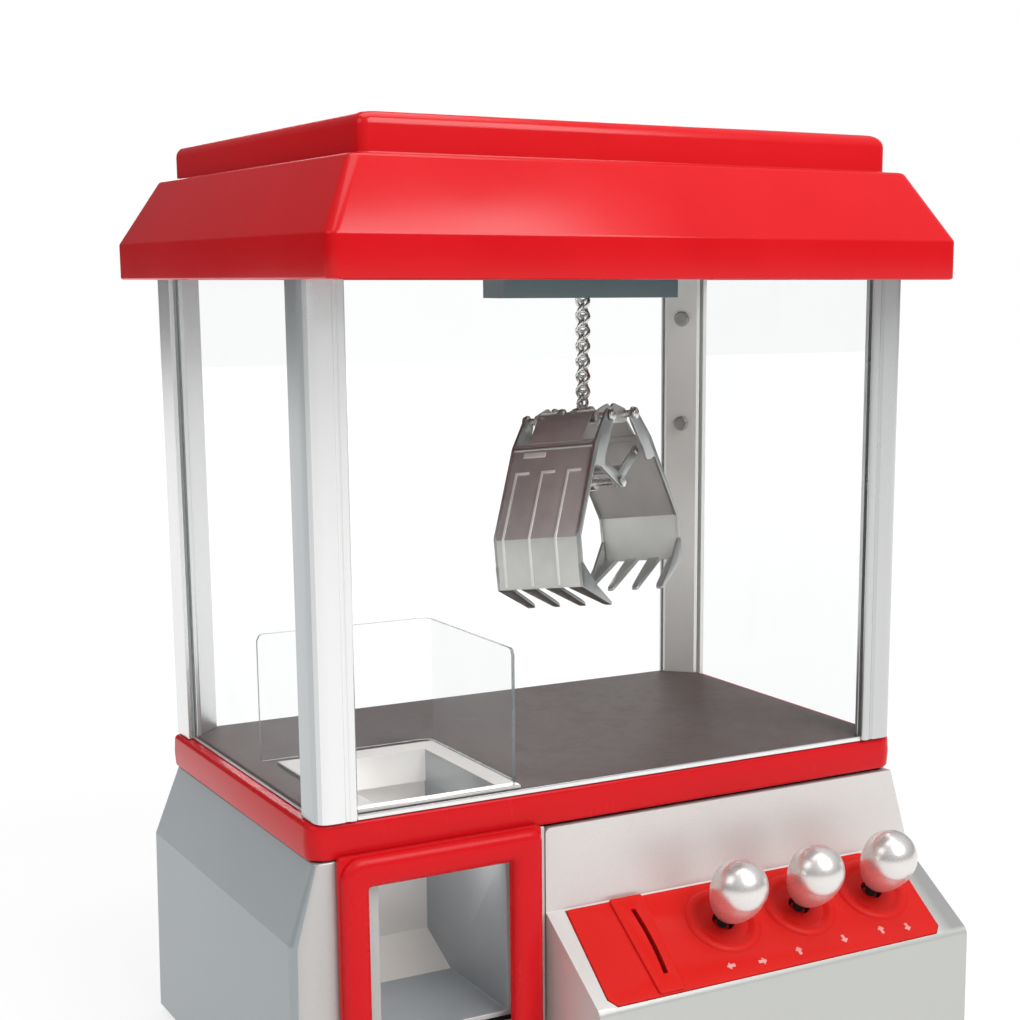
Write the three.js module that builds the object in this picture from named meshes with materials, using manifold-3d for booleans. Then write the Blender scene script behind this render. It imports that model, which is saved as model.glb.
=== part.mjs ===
// Table-top claw crane machine, millimetres, +Z up.
// Origin: centre of the footprint, on the surface the feet stand on. Front is -Y, +X is to the
// right of a person who stands in front of it.
import * as THREE from 'three';
import * as BufferGeometryUtils from 'three/addons/utils/BufferGeometryUtils.js';
import Module from 'manifold-3d';

const wasm = await Module();
wasm.setup();

// ---------------------------------------------------------------- driving dimensions
const GAP = 0.3;        // between neighbouring pieces
const FRONT = -83.5;    // front plane of the cabinet
const BACK = 75.0;      // back plane of the window box

// The lower case widens downward: a draft up to zKink, then a lean inward to xTop at z1.
const BASE = {
  x: 138.7, xTop: 129.6, back: 81.4, draft: 1.2, wall: 2.5, z0: 3.0, zKink: 81.3, z1: 111.4,
};
const PLATE = { x: 135.6, z0: 3.4, z1: 5.6 };
const BATTERY = { x: -17, pitch: 34.5, z: 22.6, r: 16.4, terminalR: 4.6 };
const BELT = { x: 131.4, z0: 111.7, z1: 125.3, chamfer: 1.8 };
const DECK = { z0: 125.6, z1: 127.0 };
const CHUTE = {
  x0: -103.4, x1: -51.2, y0: -76.8, y1: -6.4, wall: 1.6, clearance: 2.0,
  holeX: -54.2, holeY: -14.0, sleeveZ: 115.0, foot: [-28.3, 38.8],
};
const CHUTE_RIM = { x0: -112.6, x1: -46.0, y0: -81.3, y1: -2.7, z0: 127.2, z1: 128.2 };
const GUARD = {
  x0: -117.0, x1: -42.8, y0: -71.0, y1: 5.0, z0: 127.3, z1: 178.4, t: 1.4, bend: 4.0, corner: 2.5,
};
const POST = { x: 128.8, w: 15.7, d: 15.7, leg: 5.6, y0: -85.4, z0: 125.6, z1: 317.6 };
const SCREW_Z = { post_screw_lower: 247.6, post_screw_upper: 296.6 };
const WINDOW = { z0: 125.7, z1: 317.4 };
const CANOPY = {
  x: 130.4, y0: -113.95, y1: 124.4, z0: 314.5, zFascia: 329.2, zSlope: 355.2, z1: 369.4,
  inset: 14.5, capInset: 20.1, wall: 1.35,
};
const RAIL_X = 118;
const PINION = { x: 105.2, r: 9.4 };
const CROSS_ROD = { x: 111.8, offset: 14, z: 338, r: 2.5, boreR: 2.58 };
const TROLLEY = { x: 26.0, y: -4.0, z0: 307.3 };
const TRAY = { x0: -17.1, x1: 66.8, y0: -13.0, y1: 3.6, t: 2.0 };
const TROLLEY_FLOOR = 321.8;
const CHAIN = { x: 25.6, y: -3.6, z0: 263.6, z1: 343.0, pitch: 2.6 };
const DRUM = { y: CHAIN.y + 9.5, z: 326.0, r: 6.6, flangeR: 8.8 };
const TROLLEY_DRIVE = { x: TROLLEY.x - 22, z: 329.6 };
const CLAW = { pos: [26.7, -8.1, 212.8], yaw: 35.8, tilt: -6.4, roll: 1.8, half: 18.8 };
const HINGE = [12.0, 45.5];     // claw x, z of a shell hinge pin, mirrored
const KNEE = [22.6, 29.6];      // claw x, z of the outer toggle end, mirrored
const TOGGLE_FOOT = [0, 18.0];  // claw x, z of the shared toggle pin
const PIN = { r: 1.6, boreR: 1.66, headR: 2.6 };
const DOOR = { x0: -122.1, x1: -40.5, y0: -90.6, y1: -84.1, z0: 13.0, z1: 113.2 };
const DOOR_HOLE = { x0: -110.8, x1: -53.6, z0: 24.5, z1: 101.0, r: 1.2 };
const CONSOLE = { x0: -36.8, x1: 139.9, yFront: -124.3, zBack: 77.0, zFront: 50.0, zTop: 110.3 };
const PANEL_TILT = Math.atan2(CONSOLE.zBack - CONSOLE.zFront, FRONT - CONSOLE.yFront);
const STICK_X = [33.0, 70.0, 107.0];
const STICK_Y = -20.5;          // in panel coordinates, down the slope
const COIN_SLOT = { x0: -3.55, x1: -1.45, yTop: -7.6, length: 31.2, lean: 1.1, bow: 0.9 };

// ---------------------------------------------------------------- materials
const MATERIALS = {
  red: { color: 0xd01c22, roughness: 0.25, metalness: 0.0 },
  silver: { color: 0xb9bab8, roughness: 0.38, metalness: 0.35 },
  sideGrey: { color: 0xa4a8a9, roughness: 0.38, metalness: 0.35 },
  white: { color: 0xe6e7e3, roughness: 0.35, metalness: 0.3 },
  darkGrey: { color: 0x4c4c4d, roughness: 0.55, metalness: 0.0 },
  slate: { color: 0x46585c, roughness: 0.5, metalness: 0.0 },
  clear: { color: 0xe8f2f4, roughness: 0.08, metalness: 0.0, transparent: true, opacity: 0.3 },
  steel: { color: 0xb4b6b4, roughness: 0.3, metalness: 0.9 },
  zinc: { color: 0xa7a9a6, roughness: 0.35, metalness: 0.8 },
  black: { color: 0x1c1c1d, roughness: 0.6, metalness: 0.0 },
  green: { color: 0x1f5a34, roughness: 0.5, metalness: 0.0 },
  chuteGrey: { color: 0xc9cac8, roughness: 0.5, metalness: 0.0 },
};

// ---------------------------------------------------------------- solid helpers
const signedVolume = (pos, index) => {
  const corner = (i) => new THREE.Vector3().fromArray(pos, index[i] * 3);
  let sum = 0;
  for (let i = 0; i < index.length; i += 3) {
    sum += corner(i).dot(corner(i + 1).cross(corner(i + 2)));
  }
  return sum / 6;
};

// Weld the vertices, drop collapsed triangles and turn all faces outward.
const toSolid = (geometry) => {
  let welded = geometry.index ? geometry.toNonIndexed() : geometry.clone();
  for (const key of Object.keys(welded.attributes)) {
    if (key !== 'position') welded.deleteAttribute(key);
  }
  welded = BufferGeometryUtils.mergeVertices(welded, 1e-4);
  const vertices = new Float32Array(welded.attributes.position.array);
  const index = welded.index.array;
  const insideOut = signedVolume(vertices, index) < 0;
  const triangles = [];
  for (let i = 0; i < index.length; i += 3) {
    const [a, b, c] = [index[i], index[i + 1], index[i + 2]];
    if (a === b || b === c || a === c) continue;
    if (insideOut) triangles.push(b, a, c);
    else triangles.push(a, b, c);
  }
  return new wasm.Manifold(new wasm.Mesh({
    numProp: 3, vertProperties: vertices, triVerts: new Uint32Array(triangles),
  }));
};

const toGeometry = (solid) => {
  const mesh = solid.getMesh();
  const geometry = new THREE.BufferGeometry();
  const vertices = new Float32Array(mesh.vertProperties);
  geometry.setAttribute('position', new THREE.BufferAttribute(vertices, 3));
  geometry.setIndex(new THREE.BufferAttribute(new Uint32Array(mesh.triVerts), 1));
  return geometry;
};

const fuse = (first, ...rest) => rest.reduce((a, b) => a.add(b), first);
const cut = (first, ...rest) => rest.reduce((a, b) => a.subtract(b), first);

const box = (x0, x1, y0, y1, z0, z1) => {
  const geometry = new THREE.BoxGeometry(x1 - x0, y1 - y0, z1 - z0);
  geometry.translate((x0 + x1) / 2, (y0 + y1) / 2, (z0 + z1) / 2);
  return toSolid(geometry);
};

// Cylinder between two points, or a cone where the end radius differs.
const rod = (start, end, r, segments, endR = r) => {
  const axis = new THREE.Vector3(...end).sub(new THREE.Vector3(...start));
  const length = axis.length();
  const turn = new THREE.Quaternion()
    .setFromUnitVectors(new THREE.Vector3(0, 1, 0), axis.normalize());
  const geometry = new THREE.CylinderGeometry(endR, r, length, segments);
  geometry.translate(0, length / 2, 0);
  geometry.applyQuaternion(turn);
  geometry.translate(...start);
  return toSolid(geometry);
};
const rodX = (x0, x1, y, z, r, segments) => rod([x0, y, z], [x1, y, z], r, segments);
const rodY = (x, y0, y1, z, r, segments) => rod([x, y0, z], [x, y1, z], r, segments);
const rodZ = (x, y, z0, z1, r, segments) => rod([x, y, z0], [x, y, z1], r, segments);

// Solid of revolution about the vertical through (x, y); profile is [radius, z], axis to axis.
const turned = (profile, x, y, segments) => {
  const points = profile.map(([r, z]) => new THREE.Vector2(r, z));
  const geometry = new THREE.LatheGeometry(points, segments);
  geometry.rotateX(Math.PI / 2);
  geometry.translate(x, y, 0);
  return toSolid(geometry);
};

// Closed skin through rings of equal point count, with flat ends. A ring point is [x, y, z],
// followed by the two flat coordinates used to fill the ends where these are not x and y.
const loft = (rings) => {
  const n = rings[0].length;
  const positions = rings.flatMap((ring) => ring.flatMap((p) => p.slice(0, 3)));
  const index = [];
  for (let k = 0; k + 1 < rings.length; k++) {
    for (let i = 0; i < n; i++) {
      const a = k * n + i;
      const b = k * n + ((i + 1) % n);
      index.push(a, b, b + n, a, b + n, a + n);
    }
  }
  const closeEnd = (k, isFirst) => {
    const flat = rings[k].map((p) => new THREE.Vector2(p[3] ?? p[0], p[4] ?? p[1]));
    const flip = THREE.ShapeUtils.area(flat) < 0 ? !isFirst : isFirst;
    for (const triangle of THREE.ShapeUtils.triangulateShape(flat, [])) {
      const [a, b, c] = triangle.map((i) => k * n + i);
      index.push(...(flip ? [c, b, a] : [a, b, c]));
    }
  };
  closeEnd(0, true);
  closeEnd(rings.length - 1, false);
  const geometry = new THREE.BufferGeometry();
  geometry.setAttribute('position', new THREE.BufferAttribute(new Float32Array(positions), 3));
  geometry.setIndex(index);
  return toSolid(geometry);
};

// An outline laid in a plane square to one axis, as a ring for loft.
const ringX = (outline, x) => outline.map(([y, z]) => [x, y, z, y, z]);
const ringY = (outline, y) => outline.map(([x, z]) => [x, y, z, x, z]);
const ringZ = (outline, z) => outline.map(([x, y]) => [x, y, z]);
// Prisms along X from (y, z), along Y from (x, z) and along Z from (x, y).
const alongX = (outline, x0, x1) => loft([ringX(outline, x0), ringX(outline, x1)]);
const alongY = (outline, y0, y1) => loft([ringY(outline, y0), ringY(outline, y1)]);
const slab = (outline, z0, z1) => loft([ringZ(outline, z0), ringZ(outline, z1)]);
// A solid made twice, on either side of y = 0.
const bothY = (make, inner, outer) => [make(-outer, -inner), make(inner, outer)];

// Arc points, angles in degrees.
const arc = (cx, cy, r, from, to, steps) => Array.from({ length: steps + 1 }, (_, i) => {
  const angle = THREE.MathUtils.degToRad(from + (to - from) * i / steps);
  return [cx + r * Math.cos(angle), cy + r * Math.sin(angle)];
});

// radii is one radius, or four in the order (x1, y1), (x0, y1), (x0, y0), (x1, y0).
const roundedRect = (x0, x1, y0, y1, radii, steps = 4) => {
  const [a, b, c, d] = Array.isArray(radii) ? radii : [radii, radii, radii, radii];
  return [
    ...arc(x1 - a, y1 - a, a, 0, 90, steps),
    ...arc(x0 + b, y1 - b, b, 90, 180, steps),
    ...arc(x0 + c, y0 + c, c, 180, 270, steps),
    ...arc(x1 - d, y0 + d, d, 270, 360, steps),
  ];
};

const machine = new THREE.Group();
const add = (name, solid, material, parent = machine) => {
  const mesh = new THREE.Mesh(toGeometry(solid), new THREE.MeshStandardMaterial(material));
  mesh.name = name;
  parent.add(mesh);
};

// ---------------------------------------------------------------- lower case
// Plan of the case at height z, moved outward by grow (inward where negative).
const baseRing = (z, grow) => {
  const lean = Math.max(0, (z - BASE.zKink) / (BASE.z1 - BASE.zKink));
  const draft = BASE.draft * Math.max(0, (BASE.zKink - z) / (BASE.zKink - BASE.z0));
  const x = BASE.x + (BASE.xTop - BASE.x) * lean + draft + grow;
  const back = BASE.back + (BACK - 1.2 - BASE.back) * lean + draft + grow;
  const scale = grow < 0 ? 0.6 : 1;
  const radii = [2.2, 2.2, 5.5 - 3.0 * lean, 2.2].map((r) => r * scale);
  return ringZ(roundedRect(-x, x, FRONT - grow, back, radii), z);
};
const baseOuter = loft([BASE.z0, BASE.zKink, BASE.z1].map((z) => baseRing(z, 0)));
const baseInner = loft([
  ringZ(baseRing(BASE.z0, -BASE.wall), BASE.z0 - 1),
  baseRing(BASE.zKink, -BASE.wall),
  ringZ(baseRing(BASE.z1, -BASE.wall), BASE.z1 + 1),
]);
const chuteRoom = [CHUTE.x0 - CHUTE.clearance, CHUTE.x1 + CHUTE.clearance];
add('base_shell', cut(baseOuter, baseInner,
  box(CONSOLE.x0 - GAP, 150, -90, FRONT + 4.3, 0, 112),   // bay the console closes
  box(...chuteRoom, -90, FRONT + 5, 36.4, 103.0),         // prize outlet
  box(96, 112, 70, 90, 36, 42)), MATERIALS.sideGrey);     // power switch slot

const plateOutline = roundedRect(-PLATE.x, PLATE.x, FRONT + 5.0, BASE.back - 3.0, 3);
add('base_plate', cut(
  fuse(
    slab(plateOutline, PLATE.z0, PLATE.z1),
    box(CONSOLE.x0 + 3.0, PLATE.x, CONSOLE.yFront + 3.0, FRONT + 12, PLATE.z0, PLATE.z1)),
  box(-36, 70, -24, 44, 0, 8)), MATERIALS.darkGrey);
add('battery_door', fuse(
  slab(roundedRect(-40, 74, -28, 48, 3), 1.5, 3.1),
  box(-8, 42, 40.5, 42.5, 0.9, 1.8)), MATERIALS.darkGrey);

// The front right foot stands under the console.
const FEET = [['fl', -122, -66], ['fr', 122, -108], ['bl', -122, 60], ['br', 122, 60]];
const footProfile = [[0, 0], [8.2, 0], [9.0, 0.8], [8.4, 3.1], [0, 3.1]];
for (const [corner, x, y] of FEET) {
  add('foot_' + corner, turned(footProfile, x, y, 24), MATERIALS.black);
}
for (let i = 0; i < 3; i++) {
  const x = BATTERY.x + i * BATTERY.pitch;
  add('battery_' + (i + 1), fuse(
    rodY(x, -20, 38.5, BATTERY.z, BATTERY.r, 24),
    rodY(x, 38, 40.6, BATTERY.z, BATTERY.terminalR, 16)), MATERIALS.black);
}

// ---------------------------------------------------------------- belt
const beltWide = roundedRect(-BELT.x, BELT.x, FRONT - 0.6, BACK, [4.3, 4.3, 6, 6]);
const beltEdge = (inset, front) =>
  roundedRect(-BELT.x + inset, BELT.x - inset, front, BACK - inset, [3.4, 3.4, 5, 5]);
const belt = loft([
  ringZ(beltEdge(1.4, FRONT + 1.0), BELT.z0),
  ringZ(beltWide, BELT.z0 + BELT.chamfer),
  ringZ(beltWide, BELT.z1 - BELT.chamfer),
  ringZ(beltEdge(1.2, FRONT + 0.6), BELT.z1)]);
add('belt_frame', cut(belt, box(-118, 118, FRONT + 4.4, 62, 100, 130)), MATERIALS.red);

// ---------------------------------------------------------------- posts
// name, side in x, side in y
const POSTS = [['post_fl', -1, -1], ['post_fr', 1, -1], ['post_bl', -1, 1], ['post_br', 1, 1]];
// Post outlines are [inward in x, inward in y] from the outer corner.
const atPost = (outline, sideX, sideY) => outline.map(([a, b]) =>
  [sideX * (POST.x - a), sideY < 0 ? POST.y0 + b : BACK - b]);

// Outer corner, a small notch, a window groove in each leg and the sloping inner face.
const postOutline = (sideX, sideY) => {
  const { w, d, leg } = POST;
  const r = sideY < 0 ? 5.5 : 1.5;
  return atPost([
    [0, d], ...arc(r, r, r, 180, 270, 5),
    [10.6, 0], [11.0, 0.5], [12.2, 0.5], [12.6, 0],
    [w - 0.8, 0], [w, 0.8], [w, 1.9], [w - 3, 1.9], [w - 3, 3.9], [w, 3.9], [w, leg],
    [leg, d], [3.9, d], [3.9, d - 3], [1.9, d - 3], [1.9, d],
  ], sideX, sideY);
};
// Room the deck leaves for a post.
const postRoom = (sideX, sideY) => {
  const { w, d, leg } = POST;
  const outline = [
    [-2, -2], [w + GAP, -2], [w + GAP, leg + GAP * 0.5], [leg + GAP * 0.5, d + GAP], [-2, d + GAP],
  ];
  return slab(atPost(outline, sideX, sideY), 120, 130);
};

// Screws sit square on the sloping inner face of the back right post.
const faceX = POST.x - (POST.w + POST.leg) / 2;
const faceY = BACK - (POST.d + POST.leg) / 2;
const faceNormal = new THREE.Vector2(POST.d - POST.leg, POST.w - POST.leg).normalize();
const screwPoint = (depth, z) => [faceX + faceNormal.x * depth, faceY + faceNormal.y * depth, z];
const screwRod = (from, to, z, ...size) => rod(screwPoint(from, z), screwPoint(to, z), ...size);

for (const [name, sideX, sideY] of POSTS) {
  let post = slab(postOutline(sideX, sideY), POST.z0, POST.z1);
  if (name === 'post_br') {
    post = cut(post, ...Object.values(SCREW_Z).map((z) => screwRod(-4, 5.2, z, 2.6, 16)));
  }
  add(name, post, MATERIALS.white);
}
for (const [name, z] of Object.entries(SCREW_Z)) {
  const screwHead = screwRod(-2.4, -0.3, z, 3.0, 20, 3.6);
  add(name, fuse(screwHead, screwRod(-0.8, 4.4, z, 2.2, 12)), MATERIALS.zinc);
}

// ---------------------------------------------------------------- deck and prize chute
add('deck', cut(
  slab(roundedRect(-124.9, 124.9, -81.6, 71.0, 1), DECK.z0, DECK.z1),
  box(...chuteRoom, CHUTE.y0 - CHUTE.clearance, CHUTE.y1 + CHUTE.clearance, 120, 130),
  ...POSTS.map(([, sideX, sideY]) => postRoom(sideX, sideY))), MATERIALS.darkGrey);

// Open box under the hole, its floor sloping down to a level part at the front outlet, with a
// light rim that lies over the deck round the hole.
const [footY, footZ] = CHUTE.foot;
const chuteSection = [
  [CHUTE.y0 - 9, footZ], [footY, footZ], [CHUTE.y1, 49.4], [CHUTE.y1, CHUTE.sleeveZ],
  [CHUTE.y0, CHUTE.sleeveZ], [CHUTE.y0, 101.4], [CHUTE.y0 - 9, 101.4],
];
const chuteHollow = fuse(
  alongX(chuteSection, CHUTE.x0, CHUTE.x1),
  box(CHUTE.x0, CHUTE.holeX, CHUTE.y0, CHUTE.holeY, CHUTE.sleeveZ - 1, 140));
const chuteWall = CHUTE.wall;
const chuteOuter = box(CHUTE.x0 - chuteWall, CHUTE.x1 + chuteWall,
  CHUTE.y0 - chuteWall, CHUTE.y1 + chuteWall, 36.8, CHUTE_RIM.z0);
const chuteRim = box(...Object.values(CHUTE_RIM));
const underFloor = [[CHUTE.y1 + 9, 30], [footY, 30], [footY, 37.0], [CHUTE.y1 + 9, 52.0]];
add('prize_chute', cut(fuse(chuteOuter, chuteRim), chuteHollow,
  alongX(underFloor, CHUTE.x0 - 5, CHUTE.x1 + 5)), MATERIALS.chuteGrey);

// Clear L-shaped guard behind and to the right of the hole, its free upper corners rounded.
const buildGuard = () => {
  const { x0, x1, y0, y1, z0, z1, t, bend, corner } = GUARD;
  const plan = [
    [x0, y1], [x0, y1 - t], ...arc(x1 - bend, y1 - bend, bend - t, 90, 0, 6),
    [x1 - t, y0], [x1, y0], ...arc(x1 - bend, y1 - bend, bend, 0, 90, 6),
  ];
  const cornerWaste = (edge) => [
    [edge, z1 - corner], ...arc(edge + corner, z1 - corner, corner, 180, 90, 5),
    [edge + corner, z1 + 2], [edge - 2, z1 + 2], [edge - 2, z1 - corner],
  ];
  return cut(slab(plan, z0, z1),
    alongY(cornerWaste(x0), 0, 10), alongX(cornerWaste(y0), -50, -40));
};
add('chute_guard', buildGuard(), MATERIALS.clear);

// Clear windows, edges in the post grooves: x0, x1, y0, y1.
const WINDOWS = {
  front: [-115.8, 115.8, -83.2, -81.9],
  back: [-115.8, 115.8, 71.4, 72.8],
  left: [-126.6, -125.2, -72.4, 62.0],
  right: [125.2, 126.6, -72.4, 62.0],
};
for (const [side, extent] of Object.entries(WINDOWS)) {
  add('window_' + side, box(...extent, WINDOW.z0, WINDOW.z1), MATERIALS.clear);
}

// ---------------------------------------------------------------- canopy
const buildCanopy = () => {
  const { x, y0, y1, z0, zFascia, zSlope, z1, inset, capInset, wall } = CANOPY;
  const ring = (d, z, r) => ringZ(roundedRect(-x + d, x - d, y0 + d, y1 - d, r), z);
  const outer = fuse(
    loft([ring(0, z0, 3.5), ring(0, zFascia, 3.5), ring(inset, zSlope, 3.5)]),
    loft([
      ring(capInset, zSlope - 1, 6),
      ring(capInset, z1 - 4.5, 6),
      ring(capInset + 0.7, z1 - 2.2, 6),
      ring(capInset + 2.2, z1 - 0.7, 6),
      ring(capInset + 4.5, z1, 5)]));
  const inner = fuse(
    loft([
      ring(wall, z0 - 1, 2),
      ring(wall, zFascia - 0.8, 2),
      ring(inset + wall, zSlope - wall, 2)]),
    loft([
      ring(capInset + wall, zSlope - wall - 2, 4),
      ring(capInset + wall + 0.3, z1 - wall, 4)]));
  return cut(outer, inner);
};
add('canopy', buildCanopy(), MATERIALS.red);

// Frame plate inside the canopy, on top of the posts and under the rails.
add('ceiling_frame', cut(
  slab(roundedRect(-125.4, 125.4, -110.8, 121.2, 3), 318.0, 321.0),
  box(-111.6, 111.6, -62, 52, 310, 330)), MATERIALS.darkGrey);

// I-section of a rail: x from its centre, z
const RAIL_SECTION = [
  [-3, 321.3], [3, 321.3], [3, 323], [1.4, 323], [1.4, 324.8], [3, 324.8],
  [3, 327], [-3, 327], [-3, 324.8], [-1.4, 324.8], [-1.4, 323], [-3, 323],
];
const SIDES = [['left', -1], ['right', 1]];
for (const [name, side] of SIDES) {
  const section = RAIL_SECTION.map(([x, z]) => [side * RAIL_X + x, z]);
  add('rail_' + name, alongY(section, -64, 54), MATERIALS.steel);
}

// ---------------------------------------------------------------- gantry bridge, slides along Y
const bridgeY = TROLLEY.y;
for (const [name, side] of SIDES) {
  const x = side * RAIL_X;
  const rodBlock = side < 0 ? [-116.8, -112] : [112, 116.8];
  add('carriage_' + name, cut(
    fuse(
      box(x - 6, x + 6, bridgeY - 22, bridgeY + 22, 322.2, 333),
      box(...rodBlock, bridgeY - 19, bridgeY + 19, 332, 343.5)),
    box(x - 3.4, x + 3.4, bridgeY - 30, bridgeY + 30, 321, 327.5),
    rodZ(PINION.x, bridgeY, 321, 327.7, PINION.r + 0.5, 28)), MATERIALS.slate);
}
const rodYs = [bridgeY - CROSS_ROD.offset, bridgeY + CROSS_ROD.offset];
['front', 'back'].forEach((name, i) => {
  const crossRod = rodX(-CROSS_ROD.x, CROSS_ROD.x, rodYs[i], CROSS_ROD.z, CROSS_ROD.r, 20);
  add('cross_rod_' + name, crossRod, MATERIALS.steel);
});
// The motor stands inside the right carriage, over the pinion that runs along the rail.
add('bridge_motor', fuse(
  rodZ(PINION.x, bridgeY, 330, 344.4, 6.2, 24),
  box(PINION.x - 5, 111.7, bridgeY - 4.5, bridgeY + 4.5, 327.9, 331)), MATERIALS.zinc);
add('bridge_pinion', rodZ(PINION.x, bridgeY, 322.4, 327.4, PINION.r, 24), MATERIALS.white);

// ---------------------------------------------------------------- trolley, slides along X
// Low narrow tray under a wide upper box that rides on the cross rods.
const buildTrolley = () => {
  const { x, y, z0 } = TROLLEY;
  const { x0, x1, y0, y1, t } = TRAY;
  const body = fuse(
    slab(roundedRect(x0, x1, y0, y1, 1.2), z0, 321),
    slab(roundedRect(x - 40, x + 40, y - 22, y + 22, 1.5), 320, 346));
  const rodBores = rodYs.map((rodAt) =>
    rodX(x - 60, x + 60, rodAt, CROSS_ROD.z, CROSS_ROD.boreR, 20));
  return cut(body,
    box(x0 + t, x1 - t, y0 + t, y1 - t, z0 + 2.2, 320.2),
    box(x - 37.8, x + 37.8, y - 20, y + 20, TROLLEY_FLOOR, 350),
    box(x - 37.8, x1 - 4.8, y0 + t, y1 - t, 319, 323),
    // drum and hoist motor hang through the floor
    box(CHAIN.x - 10.2, x + 37.6, y0 + 8.6, y + 19.6, 316.4, 323),
    box(CHAIN.x - 4.6, CHAIN.x + 4.6, CHAIN.y - 4.6, CHAIN.y + 4.6, 300, 312),
    ...rodBores);
};
add('trolley_housing', buildTrolley(), MATERIALS.slate);

// Winch drum behind the chain, with its motor on the same axis.
add('hoist_motor', fuse(
  rodX(38.4, TROLLEY.x + 36.5, DRUM.y, DRUM.z, 8.2, 24),
  box(44, 60, DRUM.y - 4, TROLLEY.y + 19.7, DRUM.z - 4, DRUM.z + 3)), MATERIALS.zinc);
const drumPart = (from, to, r, segments) =>
  rodX(CHAIN.x + from, CHAIN.x + to, DRUM.y, DRUM.z, r, segments);
add('winch_drum', fuse(
  drumPart(-6, 6, DRUM.r, 24),
  drumPart(-7.4, -5.8, DRUM.flangeR, 24),
  drumPart(5.8, 7.4, DRUM.flangeR, 24),
  drumPart(-10, 12.4, 1.6, 12)), MATERIALS.white);

// Drive motor, whose pinion runs along the underside of the back rod.
const drivePart = (from, to, r, segments) =>
  rodY(TROLLEY_DRIVE.x, TROLLEY.y + from, TROLLEY.y + to, TROLLEY_DRIVE.z, r, segments);
add('trolley_motor', fuse(
  drivePart(-9, 11.4, 7.4, 24),
  box(TROLLEY_DRIVE.x - 6, TROLLEY_DRIVE.x + 6, TROLLEY.y - 6, TROLLEY.y + 8,
    TROLLEY_FLOOR + 0.3, 326)), MATERIALS.zinc);
add('trolley_pinion', drivePart(11.8, 16.2, 5.6, 20), MATERIALS.white);

// ---------------------------------------------------------------- chain
const chainProfile = [[0, CHAIN.z0]];
for (let z = CHAIN.z0, i = 0; z < CHAIN.z1 - 1; z += CHAIN.pitch, i++) {
  chainProfile.push([i % 2 ? 2.8 : 2.2, z + 0.4]);
}
chainProfile.push([0, CHAIN.z1]);
add('chain', turned(chainProfile, CHAIN.x, CHAIN.y, 10), MATERIALS.zinc);

// ---------------------------------------------------------------- claw
// Claw frame: local X is the opening direction, local Y runs along the hinge pins.
const claw = new THREE.Group();
claw.position.set(...CLAW.pos);
const [tilt, roll, yaw] = [CLAW.tilt, CLAW.roll, CLAW.yaw].map(THREE.MathUtils.degToRad);
claw.rotation.set(tilt, roll, yaw, 'ZXY');
machine.add(claw);

const [hingeX, hingeZ] = HINGE;
const [toggleX, toggleZ] = TOGGLE_FOOT;

// Head: cross block with two end cheeks that hold the hinge pins, and a block for the chain.
const HEAD_CHEEK = [
  [-15.6, 43.4], [-13.5, 42.2], [13.5, 42.2], [15.6, 43.4],
  [15.4, 47.6], [9.6, 50.6], [-9.6, 50.6], [-15.4, 47.6],
];
add('claw_head', cut(
  fuse(
    ...bothY((y0, y1) => alongY(HEAD_CHEEK, y0, y1), 12.8, 14.4),
    box(-6.5, 6.5, -14.0, 14.0, 43.6, 47.6),
    box(-3.0, 3.0, -3.0, 3.0, 47, 50.2)),
  rodY(-hingeX, -20, 20, hingeZ, 1.9, 16),
  rodY(hingeX, -20, 20, hingeZ, 1.9, 16)), MATERIALS.zinc, claw);

// Pin along Y with a head on each end.
const headedPin = (x, z, half, headInner, headOuter) => fuse(
  rodY(x, -half, half, z, PIN.r, 16),
  ...bothY((y0, y1) => rodY(x, y0, y1, z, PIN.headR, 16), headInner, headOuter));
for (const [name, side] of SIDES) {
  const pin = headedPin(side * hingeX, hingeZ, 19.4, 19.1, 20.6);
  add('hinge_bar_' + name, pin, MATERIALS.steel, claw);
}

// Shell outlines are [x, z] in the claw frame, for the right shell.
// Plate: hinge end, shoulder, fold, lower edge.
const PLATE_OUTER = [[16.0, 43.6], [27.4, 35.2], [52.5, 0], [53.0, -20.0]];
const PLATE_INNER = [[14.9, 42.4], [26.2, 34.2], [51.1, -0.4], [51.6, -20.0]];
const HINGE_LUG = [[13.0, 47.6], [15.2, 45.6], [17.0, 43.4], [15.2, 41.6], [12.0, 43.2]];
const FLANGE = [
  [9.3, 46.6], [10.6, 48.2], [13.6, 48.0], [27.6, 35.2], [52.5, 0], [53.0, -20.0],
  [49.4, -20.4], [49.4, -2.4], [29.4, 25.4], [24.6, 26.4], [20.6, 27.0], [9.4, 43.6],
];
const LOWER_CHEEK = [
  [53.0, -11.0], [53.0, -20.0], [27.6, -30.6], [27.2, -29.4], [39.5, -21.0], [50.6, -11.0],
];
const RIB = [[34.8, 25.5], [53.3, 0.2], [53.8, -19.6], [52.4, -19.6], [51.6, -0.2], [33.6, 24.9]];
const RIB_Y = [14.6, 3.0, -8.6];
// Teeth: y of the root, y of the tip. The outer ones are straight along the outside.
const TEETH = [
  [CLAW.half - 3.2, CLAW.half - 1.6], [5.4, 5.8], [-5.4, -5.8], [3.2 - CLAW.half, 1.6 - CLAW.half],
];
const NECK_HALF = 12.2;

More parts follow.
